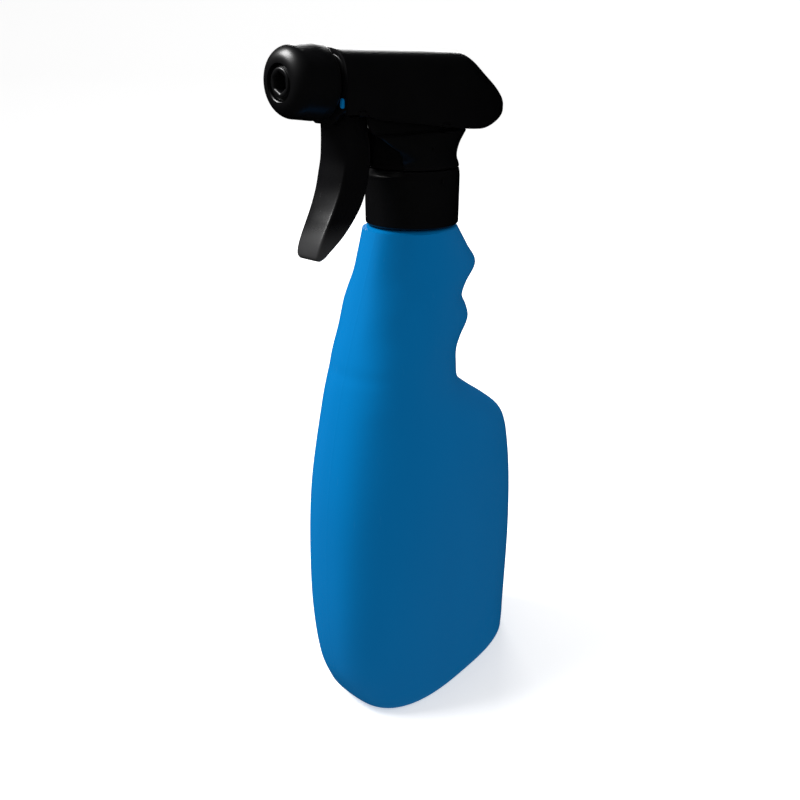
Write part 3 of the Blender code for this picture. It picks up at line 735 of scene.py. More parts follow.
# %% Small moulded bars, used as marks and latches
def pillow(centre, size, axis="y", power=4.0, side=1.0):
    """A rounded bar on a surface that faces along -Y or +Y (side) or -X (axis x)."""
    count, levels = 32, [(0.0, 1.0), (0.35, 1.0), (0.7, 0.93), (0.9, 0.78), (1.0, 0.55)]
    rings = []
    for height, share in levels:
        half_x, half_y = size[0] / 2 * share, size[1] / 2 * share
        ring = box_ring(-half_x, half_x, half_y, power, 0.0, full_turn(count))
        for index, (u, v, _) in enumerate(ring):
            out = size[2] * height
            if axis == "y":
                ring[index] = (centre[0] + u, centre[1] + out * side, centre[2] + v)
            else:
                ring[index] = (centre[0] - out, centre[1] + u, centre[2] + v)
        rings.append(ring)
    return skin(rings)


# %% Turn the collar
CHAMFER_FOOT_Z = 228.0
CHAMFER_WIDTH = 2.0
CHAMFER_INSIDE = 15.0
FILL_SLOPE = 0.8
FILL_BY_X = [(-14.5, 0.0), (-12.0, 1.0)]
COLLAR = [
    (11.6, 230.0, 0.3), (17.5 - CHAMFER_WIDTH, 230.0, 0.4), (17.5, CHAMFER_FOOT_Z, 0.6),
    (17.5, 210.0, 1.0), (14.4, 210.0, 0.4), (14.4, 228.2, 0.4), (11.6, 228.2, 0.2),
]


def filled_behind(part):
    """Keep the top chamfer under the arch, and fill it where the neck cover comes down."""
    points, faces = part
    filled = []
    for x, y, z in points:
        radius = math.hypot(x, y)
        if radius > CHAMFER_INSIDE and z > CHAMFER_FOOT_Z:
            behind = eased(FILL_BY_X, x)
            grown = 1 + FILL_SLOPE * behind * (z - CHAMFER_FOOT_Z) / radius
            x, y = x * grown, y * grown
        filled.append((x, y, z))
    return filled, faces


collar = make_piece("collar_ring", [
    filled_behind(turned(rounded_profile(COLLAR, arc=6), 160)),
    pillow((-3.2, -17.0, 226.4), (0.9, 2.2, 0.62), side=-1.0),
], BLACK_COLLAR, 45.0)
settle(collar, "screw_collar", "black_plastic", "collar")

# %% [markdown]
# ## The neck cover
#
# The flared skirt above the collar is a thin shell, round below and a long rounded box
# above, cut away in an arch at the front so that the pump shows. Cutting it with a Boolean
# would leave a raw edge. Here every level is a C-shaped band instead, with its two ends
# already rounded at the arch, and the bands are lofted upwards.

# %% Loft the neck cover from C-shaped bands
COVER_LEVELS = [
    (-17.1, 17.1, 17.1, 2.0, 230.3), (-17.1, 17.1, 17.1, 2.0, 231.1), (-20.0, 16.5, 16.2, 2.1, 234.0),
    (-30.0, 18.7, 15.1, 2.5, 238.0), (-40.0, 21.7, 13.9, 3.0, 241.0), (-42.0, 23.0, 13.2, 3.2, 242.3),
    (-42.0, 22.9, 11.5, 3.2, 243.4), (-42.0, 22.9, 11.0, 3.2, 249.8),
]
ARCH = [
    (230.3, -14.3), (233.2, -15.8), (236.6, -19.5), (239.6, -25.0), (242.2, -29.0), (244.6, -31.4),
    (249.8, -32.6),
]
COVER_WALL = 1.2
BAND_POINTS = 120


def cover_shape(z):
    return [eased([(row[4], row[column]) for row in COVER_LEVELS], z) for column in range(4)]


def band(z, thinner=0.0):
    """One C-shaped level: outside, rounded end, inside, rounded end."""
    x_front, x_back, half_width, power = cover_shape(z)

    def outside(angle):
        return Vector(box_ring(x_front, x_back, half_width, power, z, [angle])[0])

    edge_x = eased(ARCH, z) + 0.4
    low, high = 0.0, math.pi
    for _ in range(30):
        middle = (low + high) / 2
        low, high = (middle, high) if outside(middle).x > edge_x else (low, middle)
    angles = steps(-low, low, BAND_POINTS)
    outer, inner, normals = [], [], []
    for angle in angles:
        along = outside(angle + 0.003) - outside(angle - 0.003)
        normals.append(Vector((along.y, -along.x, 0.0)).normalized())
        outer.append(outside(angle) - normals[-1] * thinner)
        inner.append(outside(angle) - normals[-1] * (COVER_WALL - thinner))
    loop = list(outer)
    for end, forward in ((-1, 1.0), (0, -1.0)):
        middle, half = (outer[end] + inner[end]) / 2, (COVER_WALL - 2 * thinner) / 2
        tangent = Vector((-normals[end].y, normals[end].x, 0.0)) * forward
        across = normals[end] * forward
        for step in steps(75.0, -75.0, 5):
            turn = math.radians(step)
            loop.append(middle + across * half * math.sin(turn) + tangent * 0.4 * math.cos(turn))
        if end == -1:
            loop += inner[::-1]
    return [tuple(point) for point in loop]


cover_bands = [band(z, thin) for z, thin in ((230.3, 0.3), (230.36, 0.14), (230.5, 0.04), (230.7, 0.0))]
cover_bands += [band(z) for z in steps(231.0, 249.2, 66)]
cover_bands += [band(z, thin) for z, thin in ((249.6, 0.06), (249.8, 0.3))]


def band_caps(points, faces, count):
    """Close the first and the last band with a strip of faces between outside and inside."""
    half = count // 2
    for start in (0, len(points) - count):
        for index in range(half - 1):
            opposite = count - 1 - index
            corners = (index, index + 1, opposite - 1, opposite)
            faces.append(tuple(start + corner % count for corner in corners))
    return points, faces


def rolled(loop):
    """Start each band at the middle of an end, so that opposite points face each other."""
    shift = len(loop) - 3
    return loop[shift:] + loop[:shift]


rolled_bands = [rolled(loop) for loop in cover_bands]
cover_skin = skin(rolled_bands, caps=False)
cover_parts = [band_caps(*cover_skin, len(rolled_bands[0]))]
for side in (-1.0, 1.0):
    cover_parts.append(pillow((-6.0, side * 15.0, 236.8), (1.4, 2.4, 0.75), power=2.4, side=side))
cover = make_piece("cover_skirt", cover_parts, BLACK_COVER, 45.0)
settle(cover, "head", "black_plastic", "neck_cover")

# %% [markdown]
# ## The shroud
#
# The hood over the pump is one moulding, flat on top with well rounded shoulders, and a tail
# that slopes down behind. Its section is an arch whose height and width change along the
# hood. An open skin is lofted along X, given its wall with Solidify, and its rim is eased
# with a small Bevel. Two small latches on each side hold it to the neck cover.

# %% Loft the shroud along its length
SHROUD_TOP = [
    (-43, 268.8), (16, 268.8), (22, 267.3), (30, 262.9), (38, 258.6), (44, 254.8), (48.4, 251.6),
    (50.4, 250.2),
]
SHROUD_LOW = [
    (-43, 249.6), (-36, 249.2), (-29, 247.7), (-9.5, 245.6), (6.6, 243.7), (24, 242.5), (32, 243.4),
    (39, 245.2), (45, 247.3), (50.4, 249.5),
]
SHROUD_HALF = [
    (-43, 12.2), (-20, 12.8), (10, 13.2), (25, 12.4), (36, 10.2), (43, 7.9), (48, 5.0), (50.4, 2.8),
]
ARCH_POWER = 3.4


def hood_section(x):
    top, low, half = (eased(table, x) for table in (SHROUD_TOP, SHROUD_LOW, SHROUD_HALF))
    spring_z = low + 0.35 * (top - low)
    section = [(x, half, low + (spring_z - low) * share) for share in steps(0.0, 0.85, 5)]
    for turn in steps(0.0, math.pi, 72):
        y = half * math.copysign(abs(math.cos(turn)) ** (2 / ARCH_POWER), math.cos(turn))
        section.append((x, y, spring_z + (top - spring_z) * abs(math.sin(turn)) ** (2 / ARCH_POWER)))
    section += [(x, -half, low + (spring_z - low) * share) for share in steps(0.85, 0.0, 5)]
    return section


hood_stations = steps(-43.0, 12.0, 30) + steps(13.0, 50.0, 46) + [50.25, 50.4]
hood_points, hood_faces = skin([hood_section(x) for x in hood_stations], closed=False, caps=False)
tail = len(hood_stations) - 1
hood_count = len(hood_section(0.0))
hood_faces.append(tuple(tail * hood_count + index for index in range(hood_count)))
hood = make_piece("hood", [(hood_points, hood_faces)], BLACK_COVER, 40.0)
top_faces = [face for face in hood.data.polygons if face.center.z > 0.2685]
if sum(face.normal.z for face in top_faces) < 0:
    hood.data.flip_normals()
wall = hood.modifiers.new("wall", "SOLIDIFY")
wall.thickness = 1.2 * MM
wall.offset = -1.0
wall.use_even_offset = True
rim = hood.modifiers.new("rim", "BEVEL")
rim.width = 0.28 * MM
rim.segments = 3
rim.limit_method = "ANGLE"
rim.angle_limit = math.radians(50)
settle(hood, "head", "black_plastic", "shroud")

# %% Add the four latches
latch_parts = []
for side in (-1.0, 1.0):
    for x, z, half in ((-36.9, 249.75, 12.2), (2.9, 244.55, 12.95)):
        latch_parts.append(pillow((x, side * half, z), (3.8, 1.5, 0.85), side=side))
latches = make_piece("hood_latches", latch_parts, BLACK_COVER)
settle(latches, "head", "black_plastic")

# %% [markdown]
# ## The trigger
#
# The trigger is a curved lever with a U-shaped section, open at the back: a crowned front
# face for two fingers and thin side walls. It is swept rather than cut, because every edge
# of the real one is rounded. Each section is drawn between a point on the front curve and
# its partner on the rear curve, and the channel closes at the pad and at the tip.

# %% Front and rear curves of the trigger, from the pad down to the tip
TRIGGER_PAIRS = [
    ((-38.6, 252.0), (-29.3, 252.0)), ((-38.6, 247.5), (-29.3, 247.5)), ((-38.6, 243.6), (-28.9, 243.8)),
    ((-38.8, 240.0), (-28.1, 240.0)), ((-39.3, 235.5), (-28.1, 235.6)), ((-40.6, 230.8), (-28.9, 230.0)),
    ((-42.2, 226.0), (-30.1, 225.2)), ((-44.8, 220.6), (-32.2, 220.4)), ((-47.6, 215.8), (-35.8, 215.7)),
    ((-50.3, 211.2), (-40.2, 211.3)), ((-51.6, 208.6), (-43.9, 208.5)), ((-52.3, 206.6), (-46.8, 206.4)),
    ((-52.4, 205.3), (-48.7, 204.9)), ((-51.7, 204.3), (-50.2, 204.1)),
]
TRIGGER_SIDE = [
    (204.0, 4.7), (205.0, 5.3), (207.0, 5.7), (210.0, 5.9), (220.0, 6.3), (230.0, 6.8), (238.0, 6.9),
]
CHANNEL = [(0.0, 0.0), (1.1, 0.0), (2.0, 1.0), (9.0, 1.0), (11.0, 0.0), (13.0, 0.0)]
TRIGGER_WALL = 1.6
FRONT_WALL = 2.2
CORNER = 1.25
SUBSTEPS = 8


def curve_point(points, at):
    """A smooth point at a fractional index along a list of points."""
    numbered = list(enumerate(points))
    return Vector([eased([(index, point[axis]) for index, point in numbered], at) for axis in (0, 1)])


def half_section(depth, half, open_share):
    """(u, v): u runs from the front face to the rear, v across, for one half."""
    corner = min(CORNER, depth * 0.45, half * 0.45)
    rim_radius = TRIGGER_WALL / 2
    points = [(0.22 * (v / half) ** 2, v) for v in steps(0.0, half - corner, 5)]
    crown = points[-1][0]
    for turn in steps(0.0, 90.0, 7)[1:]:
        a = math.radians(turn)
        points.append((crown + (corner - crown) * (1 - math.cos(a)), half - corner + corner * math.sin(a)))
    points += [(u, half) for u in steps(corner, depth - min(rim_radius, depth * 0.4), 6)[1:]]
    reach = min(rim_radius, depth * 0.4)
    for turn in steps(0.0, 90.0, 4)[1:]:
        a = math.radians(turn)
        points.append((depth - reach + reach * math.sin(a), half - rim_radius + rim_radius * math.cos(a)))
    for turn in steps(0.0, 90.0, 4)[1:]:
        a = math.radians(turn)
        inner_u = depth - reach * open_share * (1 - math.cos(a))
        points.append((inner_u, half - rim_radius - rim_radius * math.sin(a)))
    floor = depth - max(0.0, depth - FRONT_WALL) * open_share
    wall_v = half - TRIGGER_WALL
    points += [(u, wall_v) for u in steps(points[-1][0], floor + 0.8 * open_share, 6)[1:]]
    for turn in steps(0.0, 90.0, 4)[1:]:
        a = math.radians(turn)
        points.append((floor + 0.8 * open_share * (1 - math.sin(a)), wall_v - 0.8 * (1 - math.cos(a))))
    points += [(floor, v) for v in steps(wall_v - 0.8, 0.0, 4)[1:]]
    return points


def trigger_section(at):
    front = curve_point([pair[0] for pair in TRIGGER_PAIRS], at)
    rear = curve_point([pair[1] for pair in TRIGGER_PAIRS], at)
    half = eased(TRIGGER_SIDE, (front.y + rear.y) / 2)
    direction = (rear - front).normalized()
    one_side = half_section((rear - front).length, half, eased(CHANNEL, at))
    both = one_side + [(u, -v) for u, v in one_side[-2:0:-1]]
    return [(front.x + direction.x * u, v, front.y + direction.y * u) for u, v in both]


trigger_stations = steps(0.0, len(TRIGGER_PAIRS) - 1, SUBSTEPS * (len(TRIGGER_PAIRS) - 1))
trigger_sweep = skin([trigger_section(at) for at in trigger_stations])
print("trigger sections:", len(trigger_stations))

# %% The two arms and their pivot eyes
PIVOT = (-33.5, 264.0)
ARM_INSIDE, ARM_OUTSIDE = 5.7, 6.9


def arm(side):
    """A flat arm from the pad up to a round eye with a hole, its edges eased."""
    outline, hole = [], []
    for turn in steps(0.0, 180.0, 24):
        a = math.radians(turn)
        outline.append((PIVOT[0] + 2.7 * math.cos(a), PIVOT[1] + 2.7 * math.sin(a)))
    outline += [(-36.6, z) for z in (262.0, 259.0)] + [(-38.2, 254.0), (-38.5, 250.6), (-38.5, 248.5)]
    outline += [(x, 248.5) for x in (-36.0, -32.0)] + [(-29.4, 248.5), (-29.4, 251.0), (-29.6, 255.0)]
    outline += [(-30.4, 259.5), (-30.8, 262.0)]
    for x, z in outline:
        a = math.atan2(z - PIVOT[1], x - PIVOT[0])
        hole.append((PIVOT[0] + 1.5 * math.cos(a), PIVOT[1] + 1.5 * math.sin(a)))
    near, far = ARM_INSIDE * side, ARM_OUTSIDE * side
    walk = ((outline, near), (outline, far), (hole, far), (hole, near))
    rings = [[(x, y, z) for x, z in loop] for loop, y in walk]
    return skin(rings + [rings[0]], caps=False)


trigger = make_piece("trigger_lever_moulding", [trigger_sweep, arm(-1.0), arm(1.0)], BLACK_TRIGGER, 42.0)
settle(trigger, "trigger_lever", "black_plastic", "trigger")

# %% [markdown]
# ## Ribs in the trigger's channel
#
# Cross ribs keep the thin side walls apart. They are one plate repeated along a line, so a
# second tree sets it on the points of a curve and turns it to the curve's direction.


# %% The rib tree
def rib_tree():
    number = "NodeSocketFloat"
    tree = new_tree("ribs", [
        ("Start", "NodeSocketVector", (0.0, 0.0, 0.0)), ("Middle", "NodeSocketVector", (0.0, 0.0, 0.0)),
        ("End", "NodeSocketVector", (0.0, 0.0, 0.0)), ("Count", "NodeSocketInt", 5),
        ("Width", number, 0.01), ("Depth", number, 0.006), ("Thickness", number, 0.001),
        ("Material", "NodeSocketMaterial", None),
    ])
    start = tree.nodes.new("NodeGroupInput").outputs
    path = add_node(tree, "GeometryNodeCurveQuadraticBezier", values={
        "Start": start["Start"], "Middle": start["Middle"], "End": start["End"], "Resolution": 32,
    })
    points = add_node(tree, "GeometryNodeCurveToPoints", {"mode": "COUNT"}, {
        "Curve": path.outputs[0], "Count": start["Count"],
    })
    size = add_node(tree, "ShaderNodeCombineXYZ", values={
        "X": start["Depth"], "Y": start["Width"], "Z": start["Thickness"],
    })
    plate = add_node(tree, "GeometryNodeMeshCube", values={"Size": size.outputs[0]})
    facing = add_node(tree, "FunctionNodeAlignEulerToVector", {"axis": "Z", "pivot_axis": "Y"}, {
        "Vector": points.outputs["Tangent"],
    })
    placed = add_node(tree, "GeometryNodeInstanceOnPoints", values={
        "Points": points.outputs[0], "Instance": plate.outputs[0], "Rotation": facing.outputs[0],
    })
    close_tree(tree, placed.outputs[0], start["Material"])
    return tree


RIBS = rib_tree()
rib_mesh = run_tree("trigger_ribs", RIBS, {
    "Start": (-0.0338, 0.0, 0.2405), "Middle": (-0.0330, 0.0, 0.2270), "End": (-0.0430, 0.0, 0.2125),
    "Count": 5, "Width": 0.0094, "Depth": 0.0066, "Thickness": 0.0009, "Material": BLACK_TRIGGER,
})
ribs = plain_piece("trigger_ribs", rib_mesh, smooth_angle=30.0)
settle(ribs, "trigger_lever", "black_plastic")

# %% [markdown]
# ## The turning knob and its spray insert
#
# The knob is turned, with a domed front edge that catches the key light. Its hollow shows
# only from behind. The insert pressed in its face is a disc with a raised ring and a
# six-sided well, with the spray hole at the bottom. Its rings change from round to
# six-sided on the way in, so one skin makes all of it.

# %% Turn the knob
AXIS_Z = 258.85
SHROUD_FRONT = -43.0
KNOB_FRONT, KNOB_REAR = 16.8, 1.3
knob_profile = [(5.3, KNOB_FRONT - 1.0), (5.35, KNOB_FRONT - 0.35), (5.7, KNOB_FRONT - 0.04)]
for turn in steps(90.0, 0.0, 18):
    a = math.radians(turn)
    knob_profile.append((5.5 + 5.0 * math.cos(a), KNOB_FRONT - 5.0 + 5.0 * math.sin(a)))
knob_taper = [(0.0, 10.5), (1.0, 11.2)]
knob_profile += [(eased(knob_taper, s), KNOB_FRONT - 5.0 - 6.5 * s) for s in steps(0.1, 1.0, 9)]
knob_profile += rounded_profile([
    (11.2, KNOB_REAR + 3.0, 0.0), (11.2, KNOB_REAR, 0.8), (9.0, KNOB_REAR, 0.3),
    (9.0, KNOB_FRONT - 4.6, 0.8), (6.7, KNOB_FRONT - 3.2, 0.3), (6.7, KNOB_FRONT - 13.0, 0.2),
    (5.3, KNOB_FRONT - 13.0, 0.2),
], closed=False, arc=5)
knob = make_piece("turning_knob", [laid_forward(turned(knob_profile, 128), SHROUD_FRONT, AXIS_Z)], BLACK_KNOB)
settle(knob, "nozzle", "black_plastic", "nozzle_cap")


# %% Blend rings from round to six-sided for the insert
def six_sided(angle, across):
    """Distance from the centre to a hexagon's edge, its corners a little rounded."""
    sector = math.radians(60)
    offset = (angle + sector / 2) % sector - sector / 2
    return min(across / math.cos(offset), across * 1.11)


def insert_ring(radius, x, hexagon=0.0, count=96):
    ring = []
    for angle in full_turn(count):
        reach = radius * (1 - hexagon) + six_sided(angle, radius) * hexagon
        ring.append((-reach * math.sin(angle), reach * math.cos(angle), x))
    return ring


insert_rings = [
    insert_ring(radius, KNOB_FRONT + height, hexagon) for radius, height, hexagon in (
        (4.9, -5.8, 0), (4.9, -1.1, 0), (4.86, -0.9, 0), (4.7, -0.8, 0), (4.45, -0.78, 0), (4.3, -0.7, 0),
        (4.2, -0.45, 0), (4.05, -0.3, 0), (3.8, -0.22, 0), (3.4, -0.22, 0.2), (3.1, -0.28, 0.6),
        (2.85, -0.36, 1), (2.7, -0.5, 1), (2.55, -0.75, 1), (2.5, -1.2, 1), (2.5, -4.2, 1), (2.4, -4.4, 1),
        (2.0, -4.45, 0.5), (0.9, -4.45, 0), (0.6, -4.55, 0), (0.55, -4.8, 0), (0.55, -5.8, 0),
    )
]
insert_points, insert_faces = skin(insert_rings + [insert_rings[0]], caps=False)
insert_part = laid_forward((insert_points, insert_faces), SHROUD_FRONT, AXIS_Z)
insert = make_piece("spray_insert", [insert_part], BLACK_KNOB)
settle(insert, "nozzle", "black_plastic", "nozzle_insert")

# %% [markdown]
# ## The nozzle's base plate
#
# The plate closes the hood's front. Only its rim shows past the knob, where the key light
# falls straight on it, so its edge is rounded. It carries the spigot on which the knob
# turns, and a small peg in the bottle's own blue sits on its front, beside and below the knob.

# %% Make the plate, its spigot and the peg
PLATE = [
    (4.5, 246.6), (6.0, 248.6), (10.6, 250.8), (10.6, 262.0), (9.4, 265.2), (6.4, 267.0), (0.0, 267.1),
]
PLATE_X = (-42.8, -41.4)


PLATE_MIDDLE_Z = 257


def plate_ring(x, inset):
    outline = PLATE + [(-y, z) for y, z in reversed(PLATE[:-1])]
    smoothed = rounded_profile([(y, z, 1.6) for y, z in outline], arc=4)
    ring = []
    for y, z in smoothed:
        lift = inset if z < PLATE_MIDDLE_Z else -inset
        ring.append((x, y - math.copysign(min(inset, abs(y)), y), z + lift))
    return ring


plate_rings = [
    plate_ring(PLATE_X[0], 0.5), plate_ring(PLATE_X[0], 0.3), plate_ring(PLATE_X[0] + 0.08, 0.12),
    plate_ring(PLATE_X[0] + 0.28, 0.0), plate_ring(PLATE_X[1], 0.0),
]
spigot = rounded_profile([(7.0, 0.0, 0.0), (8.2, 0.0, 0.0), (8.2, 7.5, 0.5), (7.0, 7.5, 0.3)], arc=4)
base_plate = make_piece("nozzle_plate", [
    skin(plate_rings), laid_forward(turned(spigot, 96), SHROUD_FRONT, AXIS_Z),
], BLACK_COVER)
settle(base_plate, "head", "black_plastic", "nozzle_base")

peg = make_piece("blue_plate_peg", [
    pillow((PLATE_X[0] + 0.1, -9.5, 252.9), (1.7, 3.0, 0.75), axis="x", power=3.0),
], BLUE)
settle(peg, "head", "bottle_blue")

# %% [markdown]
# ## The pump body
#
# What shows through the arch is the pump body's neck cup and, when the trigger is pulled
# back, its cylinder. The rest is hidden, but it carries the barrel, the riser and the eye
# for the trigger's pin, so it is modelled as well: turned shapes and lofts set together.


# %% Turn and loft the pump body
def rod(start, direction, length, outer, inner=0.0, corner=0.3, count=64):
    """A rod or tube from start along direction ("x-", "y" or "z")."""
    if inner > 0:
        profile = [(inner, 0.0, 0.1), (outer, 0.0, corner), (outer, length, corner), (inner, length, 0.1)]
        points, faces = turned(rounded_profile(profile, arc=4), count)
    else:
        profile = [(0.0, 0.0, 0.0), (outer, 0.0, corner), (outer, length, corner), (0.0, length, 0.0)]
        points, faces = turned(rounded_profile(profile, closed=False, arc=4), count, closed=False)
    places = {
        "x-": lambda p: (start[0] - p[2], start[1] + p[1], start[2] + p[0]),
        "y": lambda p: (start[0] + p[0], start[1] + p[2], start[2] + p[1]),
        "z": lambda p: (start[0] + p[0], start[1] + p[1], start[2] + p[2]),
    }
    return [places[direction](point) for point in points], faces


CUP = [
    (-15.7, 15.7, 15.7, 2.0, 230.3), (-15.0, 15.0, 15.0, 2.0, 232.2), (-15.1, 15.0, 14.2, 2.1, 234.0),
    (-15.3, 15.1, 12.6, 2.3, 238.0),
    (-15.6, 16.6, 10.2, 2.6, 242.6),
]


def cup_ring(z, inset=0.0):
    front, back, half, power = (eased([(row[4], row[column]) for row in CUP], z) for column in range(4))
    return box_ring(front + inset, back - inset, half - inset, power, z, full_turn(96))


cup_rings = [cup_ring(230.3, 0.5), cup_ring(230.4, 0.15)] + [cup_ring(z) for z in steps(230.7, 242.2, 16)]
cup_rings += [cup_ring(242.5, 0.12), cup_ring(242.6, 0.35), cup_ring(242.55, 1.1)]
cup_rings += [cup_ring(z, 1.3) for z in steps(242.0, 232.0, 8)]
RISER = [
    (4.6, 264.8, 0.3), (4.6, 232.4, 0.5), (10.0, 232.4, 0.3), (10.0, 230.7, 0.1), (11.3, 230.7, 0.3),
    (11.3, 227.9, 0.3), (13.6, 227.9, 0.3), (13.6, 226.4, 0.3), (5.2, 226.4, 0.4), (5.2, 214.0, 0.3),
    (3.0, 214.0, 0.1), (3.0, 243.2, 0.1), (1.4, 243.2, 0.1), (1.4, 251.5, 0.1), (2.4, 251.5, 0.1),
    (2.4, 264.8, 0.1),
]


def block(low, high):
    x0, y0, z0 = low
    x1, y1, z1 = high
    rings = [[(x0, y0, z), (x1, y0, z), (x1, y1, z), (x0, y1, z)] for z in (z0, z1)]
    return skin(rings)


pump = make_piece("pump_moulding", [
    skin(cup_rings),
    turned(rounded_profile(RISER, arc=3), 80),
    rod((-3.0, 0.0, 248.6), "x-", 16.5, 6.2, 5.0),
    rod((-3.3, 0.0, AXIS_Z), "x-", 46.7, 3.7, 1.9),
    rod((-33.5, -5.4, 264.0), "y", 10.8, 2.5, 1.5),
    block((-18.5, -1.0, 254.2), (-3.0, 1.0, 255.85)),
    block((-17.0, -1.0, 240.0), (-14.6, 1.0, 243.0)),
    block((-35.7, -2.6, 261.8), (-31.3, 2.6, 262.6)),
], BLACK_PUMP)
settle(pump, "head", "black_plastic", "pump_body")

# %% [markdown]
# ## Piston, dip tube, pin and springs
#
# The small pieces inside the pump show when the head is lifted out or seen from below. The
# piston is a hollow plunger with two grooves for its rings, the dip tube is cut off slanting
# so that it can't seal itself against the floor, and both springs are wound by the helix
# tree that made the threads.

# %% Turn the piston, the tube and the pin
PISTON_REAR = -13.0
PISTON_LENGTH = 16.0
piston_profile = [(0.0, PISTON_LENGTH)]
for turn in steps(86.0, 20.0, 10):
    a = math.radians(turn)
    piston_profile.append((4.2 * math.cos(a), PISTON_LENGTH - 4.2 + 4.2 * math.sin(a)))
piston_profile += [
    (4.2, 11.2), (4.2, 5.8), (4.6, 5.75), (4.6, 4.95), (3.9, 4.9), (3.9, 3.7), (4.6, 3.65), (4.6, 2.15),
    (3.9, 2.1), (3.9, 0.9), (4.6, 0.85), (4.6, 0.05), (4.55, 0.0), (3.2, 0.0), (3.2, 11.0), (0.0, 11.0),
]
piston_part = laid_forward(turned(piston_profile, 64, closed=False), PISTON_REAR, 248.6)
plunger = make_piece("plunger", [piston_part], MILKY, 35.0)
settle(plunger, "piston_group", "natural_plastic", "piston")

TUBE_TOP, TUBE_FOOT, TUBE_SLANT = 236.2, 10.0, 2.0
tube_rings = []
for radius, ends in ((2.65, (TUBE_TOP, TUBE_FOOT)), (1.9, (TUBE_FOOT, TUBE_TOP))):
    for share in steps(0.0, 1.0, 24):
        z = ends[0] + (ends[1] - ends[0]) * share
        slant = TUBE_SLANT * max(0.0, 1.0 - (z - TUBE_FOOT) / 20.0)
        ring = [(radius * math.cos(a), radius * math.sin(a)) for a in full_turn(40)]
        tube_rings.append([(x, y, z + slant * (0.5 + x / 5.3)) for x, y in ring])
tube = make_piece("dip_pipe", [skin(tube_rings + [tube_rings[0]], caps=False)], MILKY)
settle(tube, "head", "natural_plastic", "dip_tube")

pin = make_piece("pivot_pin", [
    rod((-33.5, -8.1, 264.0), "y", 15.3, 1.2, corner=0.3, count=40),
    rod((-33.5, 7.2, 264.0), "y", 0.9, 2.1, corner=0.3, count=40),
], STEEL)
settle(pin, "head", "spring_steel", "trigger_pin")


# %% Wind the two springs
def spring(name, radius, rise, turns, wire, place):
    mesh = run_tree(name, HELIX, {
        "Radius": radius * MM, "Rise": rise * MM, "Turns": turns, "Steps per turn": 40,
        "Section height": wire * MM, "Section depth": wire * MM, "Flat": 1.0,
        "Corner": wire * MM * 0.49, "Fade": 0.0, "Shift": 0.0, "Section turn": 0.0,
        "Material": STEEL,
    })
    return plain_piece(name, mesh, place)


LIE_FORWARD = Matrix.Translation((-0.0053, 0.0, 0.2486)) @ Matrix.Rotation(math.radians(-90), 4, "Y")
return_coil = spring("return_coil", 2.45, 17.7, 6.0, 0.8, LIE_FORWARD)
outlet_coil = spring("outlet_coil", 1.5, 4.9, 4.0, 0.4, Matrix.Translation((0.0, 0.0, 0.2552)))
settle(return_coil, "head", "spring_steel", "return_spring")
settle(outlet_coil, "head", "spring_steel", "outlet_spring")
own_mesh(return_coil)
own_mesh(outlet_coil)

# %% [markdown]
# ## Finishes for the pieces kept from the model
#
# The gasket, the seals, the two seats, the balls, the plug and the spinner have the right
# shape already, so they stay and only get their finish.

# %% Paint the kept pieces
KEPT = {
    "neck_gasket": RUBBER, "vent_seal": RUBBER, "pressure_seal": RUBBER, "nozzle_seal": RUBBER,
    "inlet_seat": MILKY, "chamber_plug": MILKY, "swirl_core": MILKY, "inlet_ball": STEEL,
    "outlet_ball": STEEL,
}
for node, finish in KEPT.items():
    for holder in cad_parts[node].material_slots:
        holder.material = finish
print("painted", len(KEPT), "kept pieces")

# %% [markdown]
# ## Floor, light and air
#
# A plain white floor that curves up far behind and glows a little so that it stays white, one
# large soft key light in front and to the far side, a weak rim light behind, and an even white
# surround. The floor and the surround are kept out of the gloss, as black flags do round a
# glossy object in a studio, so that the black plastic stays black and only the lamps draw
# highlights on it.


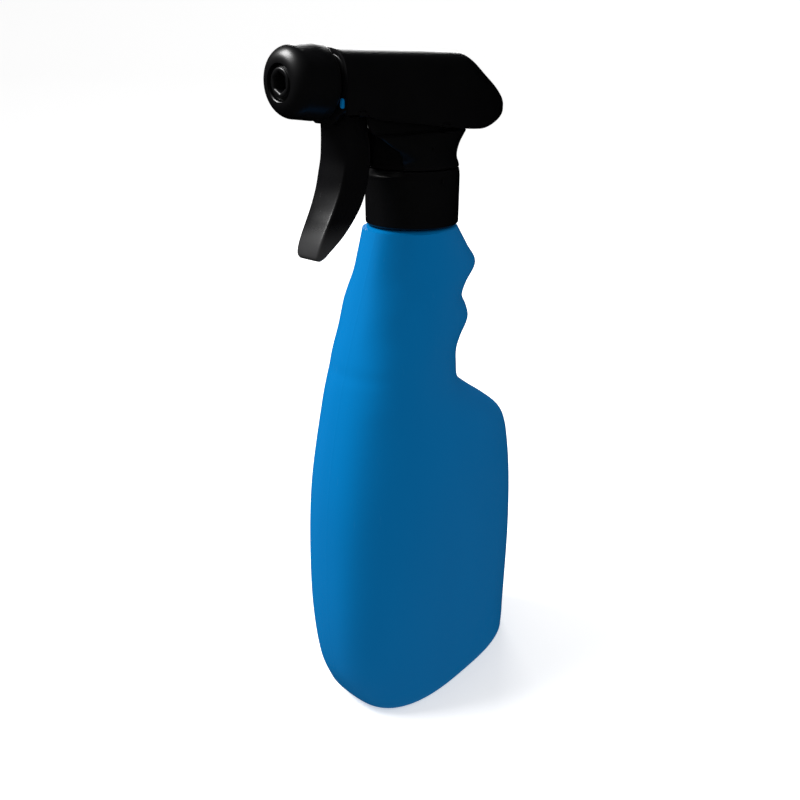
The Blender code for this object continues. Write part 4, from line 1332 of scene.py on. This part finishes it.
# %% Make the floor
FLOOR_PROFILE = [
    (0.02, 0.0), (0.6, 0.0), (1.5, 0.0), (2.4, 0.02), (3.0, 0.25), (3.4, 0.8), (3.6, 1.8), (3.65, 3.2),
]
FLOOR_SIDES = 96
FLOOR_GLOW = 0.42


def studio_floor():
    rings = []
    for radius, height in FLOOR_PROFILE:
        rings.append([(radius * math.cos(a), radius * math.sin(a), height) for a in full_turn(FLOOR_SIDES)])
    points, faces = skin(rings, caps=False)
    faces.append(tuple(range(FLOOR_SIDES)))
    mesh = bpy.data.meshes.new("floor")
    mesh.from_pydata(points, [], faces)
    mesh.shade_smooth()
    floor = bpy.data.objects.new("floor", mesh)
    bpy.context.scene.collection.objects.link(floor)
    paint = Finish("floor_white")
    shade = paint.noise(900.0, 2.0)
    mesh.materials.append(paint.done(paint.blend(shade, (0.84, 0.84, 0.84), (0.87, 0.87, 0.87)), 0.9))
    shader = paint.shader
    shader.inputs["Emission Color"].default_value = (1.0, 1.0, 1.0, 1.0)
    shader.inputs["Emission Strength"].default_value = FLOOR_GLOW
    floor.visible_glossy = False
    floor.visible_diffuse = False
    return floor


studio_floor()


# %% Set the lamps and the surround
def lamp(name, toward, distance, size, power, aim=(0.0, 0.0, 0.17)):
    """A square soft lamp that shines at aim from the direction toward."""
    data = bpy.data.lights.new(name, "AREA")
    data.shape = "RECTANGLE"
    data.size, data.size_y = size
    data.energy = power
    item = bpy.data.objects.new(name, data)
    direction = Vector(toward).normalized()
    item.location = Vector(aim) + direction * distance
    item.rotation_euler = direction.to_track_quat("Z", "Y").to_euler()
    item.visible_camera = False
    bpy.context.scene.collection.objects.link(item)
    return item


lamp("key", (-0.44, 0.45, 0.78), 1.4, (0.6, 0.6), 27.0)
lamp("rim", (0.67, 0.62, 0.42), 1.3, (0.5, 0.5), 5.0)

world = bpy.data.worlds.new("surround")
world.use_nodes = True
bpy.context.scene.world = world
sky = world.node_tree.nodes["Background"]
sky.inputs["Color"].default_value = (1.0, 1.0, 1.0, 1.0)
sky.inputs["Strength"].default_value = 0.62
world.cycles_visibility.glossy = False
bpy.context.scene.view_settings.view_transform = "Standard"
